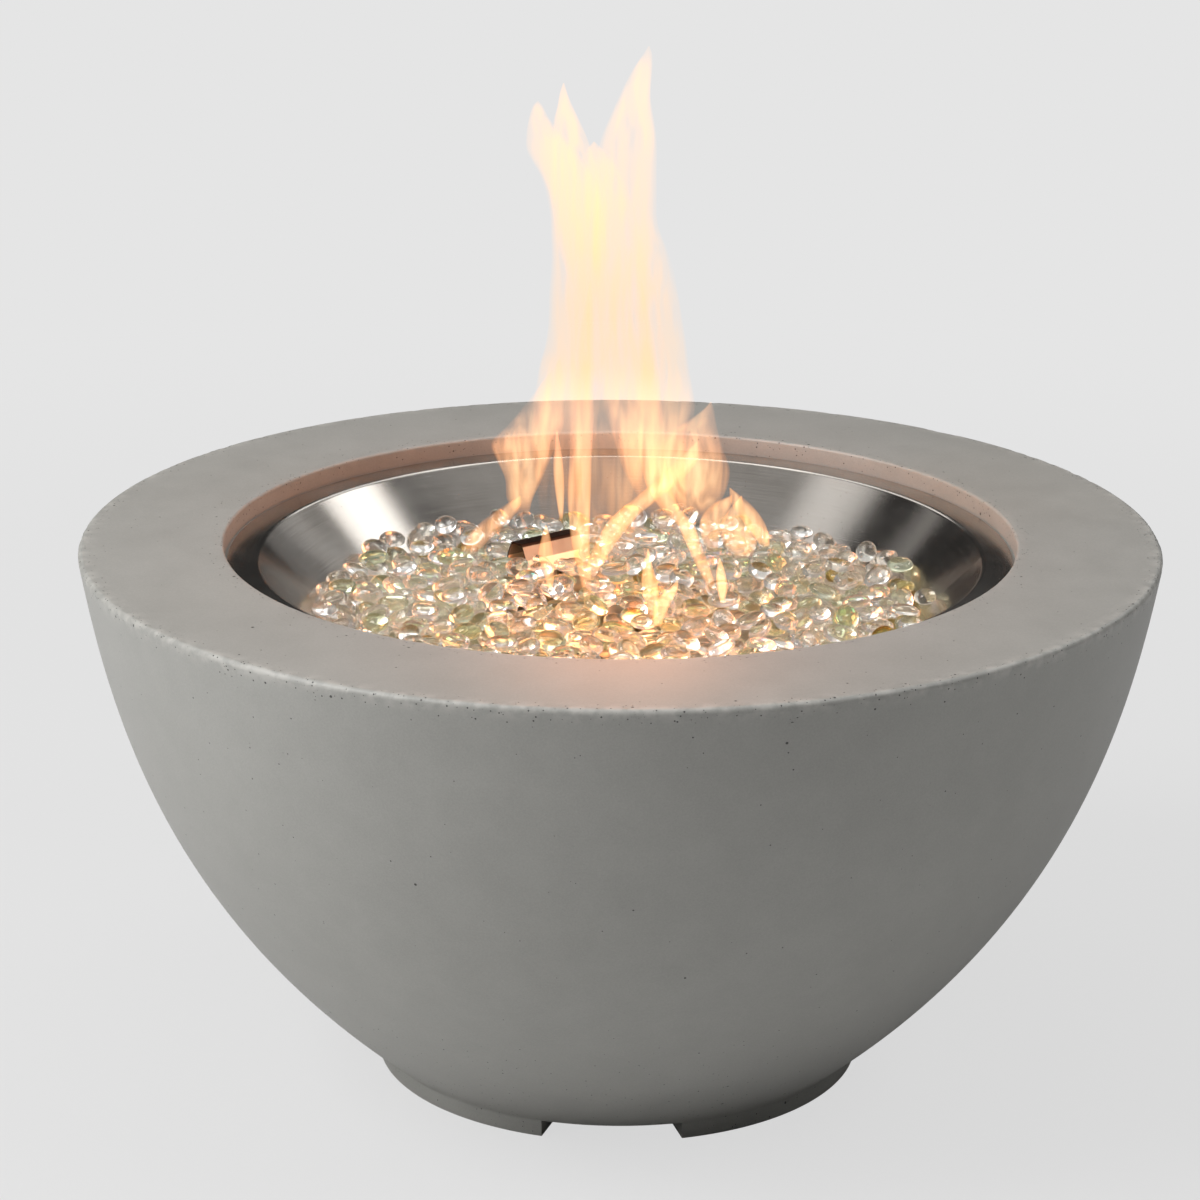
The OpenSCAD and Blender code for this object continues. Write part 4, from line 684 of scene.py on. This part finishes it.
glass = {
    "seed": 41,
    "grid": 1.5,
    "fieldHalf": 228,
    "reach": 216.0,
    "level": 341.0,
    "margin": 0.15,
    "tries": 14,
    "most": 2300,
    "misses": 60,
    # Half a pebble's length, breadth and thickness in mm, from and to
    "long": (8.6, 12.6),
    "broad": (7.2, 9.4),
    "thick": (4.8, 6.6),
    "lean": 24,
    "leanMost": 85,
    "squared": (0.92, 0.92, 0.86),
    "lumps": 0.035,
    "hoodTurn": 40.8,
    "hoodHalf": (26.4, 21.4, 11.4),
    "panSheet": 1.5,
    "panFloorEdge": 180.0,
    "crossTube": 8.0,
    "hub": 17.0,
    "hoodSpread": 26.0,
    "amber": 0.02,
    "green": 0.17,
    "scuff": 0.1,
    "filmed": 0.9,
    "film": 380.0,
    "meshFaces": 190000,
}


def middleOf(name):
    low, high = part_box(name)
    return (low.x + high.x) / 2 / mm, (low.y + high.y) / 2 / mm


def panHeights(x, y):
    # Height in mm of what the pebbles rest on at each place: pan, burner, hub and hood
    ringLow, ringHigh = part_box("burner_ring")
    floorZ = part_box("burner_pan")[0].z / mm + glass["panSheet"]
    radius = np.hypot(x, y)
    ground = floorZ + np.clip(radius - glass["panFloorEdge"], 0, None)
    tube = (ringHigh.z - ringLow.z) / mm / 2
    ringR = ringHigh.x / mm - tube
    ringZ = (ringHigh.z + ringLow.z) / mm / 2
    over = np.sqrt(np.clip(tube ** 2 - (radius - ringR) ** 2, 0, None))
    ground = np.where(over > 0, np.maximum(ground, ringZ + over), ground)
    cross = np.sqrt(np.clip(glass["crossTube"] ** 2 - y ** 2, 0, None))
    ground = np.where((cross > 0) & (np.abs(x) < ringR), np.maximum(ground, ringZ + cross), ground)
    ground = np.where(radius < glass["hub"], np.maximum(ground, ringHigh.z / mm + 0.5), ground)
    turn = math.radians(glass["hoodTurn"])
    hx, hy = middleOf("pilot_hood")
    along = (x - hx) * math.cos(turn) + (y - hy) * math.sin(turn)
    across = -(x - hx) * math.sin(turn) + (y - hy) * math.cos(turn)
    halfLong, halfFoot, halfWide = glass["hoodHalf"]
    ground = np.where((np.abs(along) < halfLong) & (np.abs(across) < halfFoot), np.maximum(ground, floorZ + 4), ground)
    return np.where((np.abs(along) < halfLong) & (np.abs(across) < halfWide), 1000.0, ground)


def dropPebbles():
    rng = np.random.default_rng(glass["seed"])
    hx, hy = middleOf("pilot_hood")
    cell = glass["grid"]
    span = np.arange(-glass["fieldHalf"], glass["fieldHalf"] + cell, cell)
    gx, gy = np.meshgrid(span, span, indexing="ij")
    ground = panHeights(gx, gy)
    owner = -np.ones(ground.shape, int)
    pebbles = []
    missed = 0
    while len(pebbles) < glass["most"] and missed < glass["misses"]:
        axes = np.array([rng.uniform(*glass["long"]), rng.uniform(*glass["broad"]), rng.uniform(*glass["thick"])])
        spin, lean, way = rng.uniform(0, 2 * math.pi), abs(rng.normal(0, glass["lean"])), rng.uniform(0, 2 * math.pi)
        tilt = Matrix.Rotation(math.radians(min(lean, glass["leanMost"])), 3, "X")
        turn = np.array(Matrix.Rotation(way, 3, "Z") @ tilt @ Matrix.Rotation(spin, 3, "Z"))
        form = turn @ np.diag(axes ** 2) @ turn.T
        flat = np.linalg.inv(form[:2, :2])
        slant = form[2, :2] @ flat
        depth = form[2, 2] - slant @ form[:2, 2]
        reach = int(math.ceil(max(axes) / cell))
        best = None
        for _ in range(glass["tries"]):
            r = glass["reach"] * math.sqrt(rng.uniform())
            a = rng.uniform(0, 2 * math.pi)
            cx, cy = r * math.cos(a), r * math.sin(a)
            if missed > glass["misses"] // 2:
                # The last ones fill up against the hood's near side
                spread = glass["hoodSpread"]
                cx, cy = hx + spread * rng.normal(), hy - spread + 0.5 * spread * rng.normal()
            i, j = int(round((cx - span[0]) / cell)), int(round((cy - span[0]) / cell))
            rows, cols = slice(i - reach, i + reach + 1), slice(j - reach, j + reach + 1)
            ux, uy = gx[rows, cols] - cx, gy[rows, cols] - cy
            inside = 1 - (flat[0, 0] * ux ** 2 + 2 * flat[0, 1] * ux * uy + flat[1, 1] * uy ** 2)
            under = inside > 0
            middle = slant[0] * ux + slant[1] * uy
            bulge = np.sqrt(depth * np.clip(inside, 0, None))
            z = (ground[rows, cols] - middle + bulge)[under].max()
            if best is None or z < best[0]:
                best = (z, cx, cy, rows, cols, under, middle, bulge)
        z, cx, cy, rows, cols, under, middle, bulge = best
        z += glass["margin"]
        if z + math.sqrt(form[2, 2]) > glass["level"]:
            missed += 1
            continue
        missed = 0
        top = z + middle + bulge
        higher = under & (top > ground[rows, cols])
        ground[rows, cols] = np.where(higher, top, ground[rows, cols])
        owner[rows, cols] = np.where(higher, len(pebbles), owner[rows, cols])
        pebbles.append((np.array([cx, cy, z]), axes, turn, rng.uniform(), rng.uniform(), rng.integers(1 << 30)))
    seen = set(np.unique(owner)) - {-1}
    return pebbles, seen


def pebbleForm(around, rings):
    # A ball of quads with its poles on the flat faces, as unit directions and faces
    tops = np.linspace(0, math.pi, rings + 1)[1:-1]
    turns = np.linspace(0, 2 * math.pi, around, endpoint=False)
    points = [(math.sin(t) * math.cos(a), math.sin(t) * math.sin(a), math.cos(t)) for t in tops for a in turns]
    points = [(0, 0, 1)] + points + [(0, 0, -1)]
    last = len(points) - 1
    faces = [(0, 1 + k, 1 + (k + 1) % around) for k in range(around)]
    for row in range(len(tops) - 1):
        base = 1 + row * around
        below = base + around
        faces += [(base + k, below + k, below + (k + 1) % around, base + (k + 1) % around) for k in range(around)]
    base = 1 + (len(tops) - 1) * around
    faces += [(last, base + (k + 1) % around, base + k) for k in range(around)]
    return np.array(points), faces


def pebbleMesh(name, chosen, form):
    unit, faces = form
    points, allFaces, tints = [], [], []
    for at, axes, turn, kind, tint, seed in chosen:
        rng = np.random.default_rng(seed)
        lumps = rng.normal(0, 1, (3, 3))
        wave = np.sin(unit @ lumps.T * 1.6 + rng.uniform(0, 6, 3)).sum(1) / 3
        squared = np.sign(unit) * np.abs(unit) ** np.array(glass["squared"])
        squared /= np.linalg.norm(squared, axis=1)[:, None]
        shape = squared * (1 - glass["lumps"] + glass["lumps"] * wave)[:, None] * axes
        base = len(points) * len(unit)
        points.append((shape @ turn.T + at) * mm)
        allFaces += [tuple(base + k for k in f) for f in faces]
        tints += [tint] * len(unit)
    piece = makeMesh(name, np.concatenate(points), allFaces, 180)
    shades = piece.data.attributes.new("tint", "FLOAT", "POINT")
    shades.data.foreach_set("value", tints)
    return piece


def fireGlass(name, clearest, tinted, rough=0.02):
    # Tumbled and fire-polished glass: bright rims, clear body, each pebble a little differently tinted
    material, tree = startMaterial(name)
    tint = addNode(tree, "Attribute", attribute_name="tint").outputs["Fac"]
    colour = addNode(tree, "Mix", {6: linear(clearest), 7: linear(tinted)}, {0: tint}, data_type="RGBA")
    filmed = {"From Min": glass["filmed"], "From Max": glass["filmed"] + 0.02, "To Max": glass["film"]}
    film = addNode(tree, "MapRange", filmed, {"Value": tint})
    clear = {"Transmission Weight": 1.0, "IOR": 1.5, "Roughness": rough, "Thin Film IOR": 1.9}
    body = addNode(tree, "BsdfPrincipled", clear, {"Base Color": colour, "Thin Film Thickness": film})
    scuff = addNode(tree, "BsdfTranslucent", links={"Color": colour})
    milky = addNode(tree, "MixShader", {0: glass["scuff"]}, {1: body, 2: scuff})
    letThrough = addNode(tree, "BsdfTransparent", links={"Color": colour})
    path = addNode(tree, "LightPath")
    shadow = addNode(tree, "MixShader", links={0: path.outputs["Is Shadow Ray"], 1: milky, 2: letThrough})
    addNode(tree, "OutputMaterial", links={"Surface": shadow})
    return material


def buildGlass():
    pebbles, seen = dropPebbles()
    print("Fire glass:", len(pebbles), "pebbles,", len(seen), "of them on top")
    fine, coarse = pebbleForm(26, 13), pebbleForm(14, 8)
    colours = {
        "clear": fireGlass("fire glass, clear", "#fbfbf9", "#f5f4ec"),
        "green": fireGlass("fire glass, pale green", "#eff2df", "#e0e7c8"),
        "amber": fireGlass("fire glass, amber", "#e2cf92", "#c4a955"),
    }

    def kindOf(p):
        return "amber" if p[3] < glass["amber"] else "green" if p[3] < glass["amber"] + glass["green"] else "clear"

    for kind, material in colours.items():
        for layer, form in (("Top", fine), ("Low", coarse)):
            chosen = [p for k, p in enumerate(pebbles) if kindOf(p) == kind and (k in seen) == (layer == "Top")]
            most = glass["meshFaces"] // len(form[1])
            for part in range(0, len(chosen), most):
                piece = pebbleMesh(f"{kind}Glass{layer}{part // most + 1}", chosen[part:part + most], form)
                replaced = ["gems_" + kind] + (["glass_bed"] if kind == "clear" else [])
                settle(piece, "root", material, "glass_" + kind, *replaced)
                lightOnly(piece, "all but pan and glass")
                lightOnly(piece, "beside the flames")


buildGlass()
lightOnly(nodes["pilot_hood"], "beside the flames")
print("Fire glass laid")


# Flames: sheets of burning gas seen through one another, drawn beside the object and no part of it

fire = {
    "levels": 60,
    "around": 32,
    "flat": 0.6,
    "spread": 1.12,
    "streak": 9.5,
    "stretch": 0.1,
    "mirrored": 0.8,
    "sway": 8.0,
    "twist": 0.5,
    "frill": 0.1,
    "rise": 0.12,
    "seenHalf": 0.3,
    # Each tongue: its depth, then height, across, half width and density at places up its middle, in mm
    "tongues": [
        (6, ((372, 34, 8, .3), (395, 30, 14, .6), (420, 24, 19, .9), (445, 20, 24, 1), (467, 20, 28, 1),
            (498, 16, 27, 1), (530, 12, 26, 1), (560, 8, 25, .9), (590, 2, 20, .9), (620, 2, 19, .9), (645, 4, 17, 1),
            (661, 6, 14, 1), (676, 8, 10, 1), (695, 13, 6, 1), (705, 16, 3, 1), (711, 17, .4, .8))),
        (14, ((372, -44, 8, .1), (400, -42, 14, .25), (430, -40, 19, .3), (460, -38, 21, .6), (490, -34, 20, 1),
            (506, -32, 18, 1), (544, -30, 17, 1), (580, -29, 17, 1), (600, -31, 16, 1), (620, -36, 17, 1),
            (637, -46, 16, 1), (649, -52, 11, 1), (660, -56, 6, 1), (668, -57, 3, 1), (671, -57, .4, .8))),
        (-8, ((540, -22, 6, .2), (570, -25, 15, .7), (600, -27, 17, 1), (630, -32, 15, 1), (650, -35, 11, 1),
            (662, -37, 8, 1), (671, -38, 5, 1), (680, -39, 2.5, 1), (687, -39, .4, .8))),
        (0, ((350, -8, 12, .3), (380, -9, 22, .45), (410, -10, 28, .5), (440, -8, 31, .5), (470, -6, 32, .6),
            (510, -4, 30, .7), (560, -9, 26, .7), (600, -13, 20, .7), (628, -15, 13, .7), (641, -18, 6, .7),
            (647, -19, .4, .5))),
        (10, ((386, -67, 4, .4), (398, -69, 8, .8), (412, -66, 12, 1), (425, -66, 17, 1), (437, -66, 20, 1),
            (450, -58, 17, 1), (464, -52, 12, .9), (480, -46, 7, .7), (496, -42, .4, .5))),
        (4, ((386, 54, 5, .5), (398, 52, 14, .9), (412, 49, 22, 1), (424, 47, 25, 1), (442, 47, 19, 1),
            (453, 53, 11, 1), (463, 59, 4, 1), (469, 61, .4, .8))),
        (-30, ((344, 64, 2, .8), (358, 59, 4, 1), (378, 50, 5, 1), (391, 44, 6, 1), (405, 33, 7, 1), (420, 26, 8, 1),
            (440, 22, 8, 1), (458, 21, 8, .9), (490, 20, 6, .7), (530, 16, 4, .5), (560, 14, .4, .3))),
        (-24, ((350, -20, 3, .7), (362, -16, 5, 1), (378, -8, 7, 1), (395, 3, 8, 1), (406, 16, 8, 1), (420, 32, 8, 1),
            (437, 46, 6, 1), (450, 52, .4, .8))),
        (-30, ((338, -21, 2, .6), (355, -23, 4, 1), (382, -26, 6, 1), (410, -27, 7, .9), (440, -26, 7, .9),
            (470, -25, 7, .8), (498, -24, 6, .7), (530, -22, 4, .6), (560, -20, .4, .4))),
        (-10, ((388, -40, 1, .7), (410, -41, 3, .9), (430, -42, 3, .9), (452, -43, .4, .7))),
        (30, ((358, 100, 3, .7), (366, 97, 5, 1), (378, 90, 7, 1), (390, 82, 6, 1), (401, 75, .4, .8))),
        (30, ((350, 84, 6, .5), (362, 82, 11, .7), (374, 80, 10, .8), (386, 80, 5, .9), (396, 83, .4, .9))),
        (30, ((356, 64, 3, .6), (368, 62, 6, .9), (380, 64, 8, 1), (390, 70, 6, 1), (396, 76, .4, .9))),
        (30, ((352, -106, 5, .3), (362, -100, 8, .8), (374, -88, 9, 1), (386, -76, 6, 1), (394, -70, .4, .8))),
        (-20, ((340, -47, 1, .8), (352, -48, 3.5, 1), (366, -50, 5, 1), (379, -50, 3, 1), (388, -50, .4, 1))),
        (-60, ((332, 24, 2, .8), (346, 23, 4, 1), (360, 21, 5, 1), (372, 20, 3, 1), (384, 20, .4, .8))),
        (-90, ((338, 27, 2, .8), (347, 28, 4, 1), (357, 31, 5, 1), (365, 37, 3, 1), (371, 40, .4, .8))),
        (-50, ((344, 70, 1, .7), (353, 70, 3, .9), (364, 69, 3, .9), (374, 68, .4, .7))),
    ],
    "lampColour": "#ffa066",
    "lampRadius": 0.035,
    "lamps": [
        # place, watts, what it lights
        ((0.0, -0.03, 0.375), 0.42, "all"),
        ((-0.01, 0.0, 0.44), 0.42, "all"),
        ((0.0, 0.0, 0.54), 0.3, "all"),
        ((0.01, -0.27, 0.455), 0.26, "all"),
        ((0.02, -0.1, 0.37), 0.3, "beside the flames"),
        ((-0.025, 0.045, 0.365), 0.16, "beside the flames"),
        ((-0.015, 0.03, 0.385), 0.1, "by the hood"),
    ],
}


def between(rows, t):
    # A smooth curve through rows of numbers, at t from 0 to 1
    rows = np.array(rows, float)
    place = t * (len(rows) - 1)
    k = min(int(place), len(rows) - 2)
    u = place - k
    a, b, c, d = rows[max(k - 1, 0)], rows[k], rows[k + 1], rows[min(k + 2, len(rows) - 1)]
    return 0.5 * (2 * b + (c - a) * u + (2 * a - 5 * b + 4 * c - d) * u ** 2 + (3 * b - a - 3 * c + d) * u ** 3)


def burningGas():
    # Burning gas: orange where it is thin, cream where it is deep, paler with height, without a hard edge
    look = {"lowThin": "#ff9a4c", "lowDeep": "#ffce9c", "highThin": "#ffd0cc", "highDeep": "#ffd6be", "pass": "#fdf1e2",
            "lowPower": 0.6, "highPower": 0.15, "tipPower": 0.26, "turn": (0.41, 0.5), "tip": (0.53, 0.68)}
    material, tree = startMaterial("burning gas")
    place = addNode(tree, "TexCoord").outputs["Object"]
    drawn = addNode(tree, "Mapping", {"Scale": (1, 1, fire["stretch"])}, {"Vector": place})
    streaks = addNode(tree, "TexNoise", {"Scale": 1000 / fire["streak"], "Detail": 1.6, "Distortion": 0.5},
                      {"Vector": drawn})
    streak = addNode(tree, "MapRange", {"From Min": 0.34, "From Max": 0.66, "To Min": 0.3, "To Max": 1.35},
                     {"Value": streaks})
    facing = addNode(tree, "LayerWeight", {"Blend": 0.3}).outputs["Facing"]
    solid = addNode(tree, "Math", {0: 1.0}, {1: facing}, operation="SUBTRACT")
    soft = addNode(tree, "Math", {1: 3.4}, {0: solid}, operation="POWER")
    fade = addNode(tree, "Attribute", attribute_name="fade").outputs["Fac"]
    dense = addNode(tree, "Math", {}, {0: soft, 1: streak}, operation="MULTIPLY")
    density = addNode(tree, "Math", {}, {0: dense, 1: fade}, operation="MULTIPLY", use_clamp=True)
    low, high = [addNode(tree, "Mix", {6: linear(look[part + "Thin"]), 7: linear(look[part + "Deep"])},
                         {0: density}, data_type="RGBA") for part in ("low", "high")]
    height = {"Value": addNode(tree, "SeparateXYZ", links={0: place}).outputs[2]}
    turn = {"From Min": look["turn"][0], "From Max": look["turn"][1]}
    up = addNode(tree, "MapRange", turn, height, interpolation_type="SMOOTHSTEP")
    glow = addNode(tree, "Mix", links={0: up, 6: low, 7: high}, data_type="RGBA")
    powers = {"To Min": look["lowPower"], "To Max": look["highPower"]}
    level = addNode(tree, "MapRange", turn | powers, height, interpolation_type="SMOOTHSTEP")
    tip = {"From Min": look["tip"][0], "From Max": look["tip"][1], "To Max": look["tipPower"] - look["highPower"]}
    more = addNode(tree, "MapRange", tip, height)
    level = addNode(tree, "Math", {}, {0: level, 1: more}, operation="ADD")
    veil = addNode(tree, "Mix", {6: (1, 1, 1, 1), 7: linear(look["pass"])}, {0: density}, data_type="RGBA")
    path = addNode(tree, "LightPath")
    shown = addNode(tree, "Math", {0: 1.0}, {1: path.outputs["Is Diffuse Ray"]}, operation="SUBTRACT")
    extra = addNode(tree, "Math", {1: fire["mirrored"]}, {0: path.outputs["Is Glossy Ray"], 2: shown},
                    operation="MULTIPLY_ADD")
    share = addNode(tree, "Math", {}, {0: extra, 1: density}, operation="MULTIPLY")
    power = addNode(tree, "Math", {}, {0: share, 1: level}, operation="MULTIPLY")
    lit = addNode(tree, "Emission", links={"Color": glow, "Strength": power})
    clear = addNode(tree, "BsdfTransparent", links={"Color": veil})
    total = addNode(tree, "AddShader", links={0: lit, 1: clear})
    addNode(tree, "OutputMaterial", links={"Surface": total})
    material.cycles.emission_sampling = "NONE"
    return material


def lightFire():
    gas = burningGas()
    for number, (depth, rows) in enumerate(fire["tongues"]):
        levels, around = fire["levels"], fire["around"]
        points, fades = [], []
        for i in range(levels + 1):
            t = i / levels
            z, x, half, dense = between(rows, t)
            half = max(half * fire["spread"], fire["seenHalf"])
            sway = fire["sway"] * noise.noise(Vector((x * 0.02, number * 3.1, z * 0.02)))
            twist = fire["twist"] * noise.noise(Vector((number * 7.3, 0.5, z * 0.012)))
            fade = max(0.0, dense) * min(1.0, t / fire["rise"])
            for k in range(around):
                a = 2 * math.pi * k / around
                wave = noise.noise(Vector((math.cos(a) * 1.3, math.sin(a) * 1.3 + number, z * 0.03)))
                wide = half * (1 + fire["frill"] * wave)
                px, py = wide * math.cos(a), wide * fire["flat"] * math.sin(a)
                points.append(((x + px * math.cos(twist) - py * math.sin(twist)) * mm,
                               (depth + sway + px * math.sin(twist) + py * math.cos(twist)) * mm, z * mm))
                fades.append(fade)
        faces = []
        for i in range(levels):
            low, high = i * around, (i + 1) * around
            for k in range(around):
                after = (k + 1) % around
                faces.append((low + k, low + after, high + after, high + k))
        piece = makeMesh(f"flame{number + 1}", points, faces, 180)
        shade = piece.data.attributes.new("fade", "FLOAT", "POINT")
        shade.data.foreach_set("value", fades)
        piece.data.materials.append(gas)
    for number, (place, watts, group) in enumerate(fire["lamps"]):
        glow = hangLamp(f"fireGlow{number + 1}", "POINT", watts, place, group)
        glow.data.shadow_soft_size = fire["lampRadius"]
        glow.data.color = linear(fire["lampColour"])[:3]
        glow.visible_glossy = False


lightFire()
print("Flames lit:", len(fire["tongues"]))
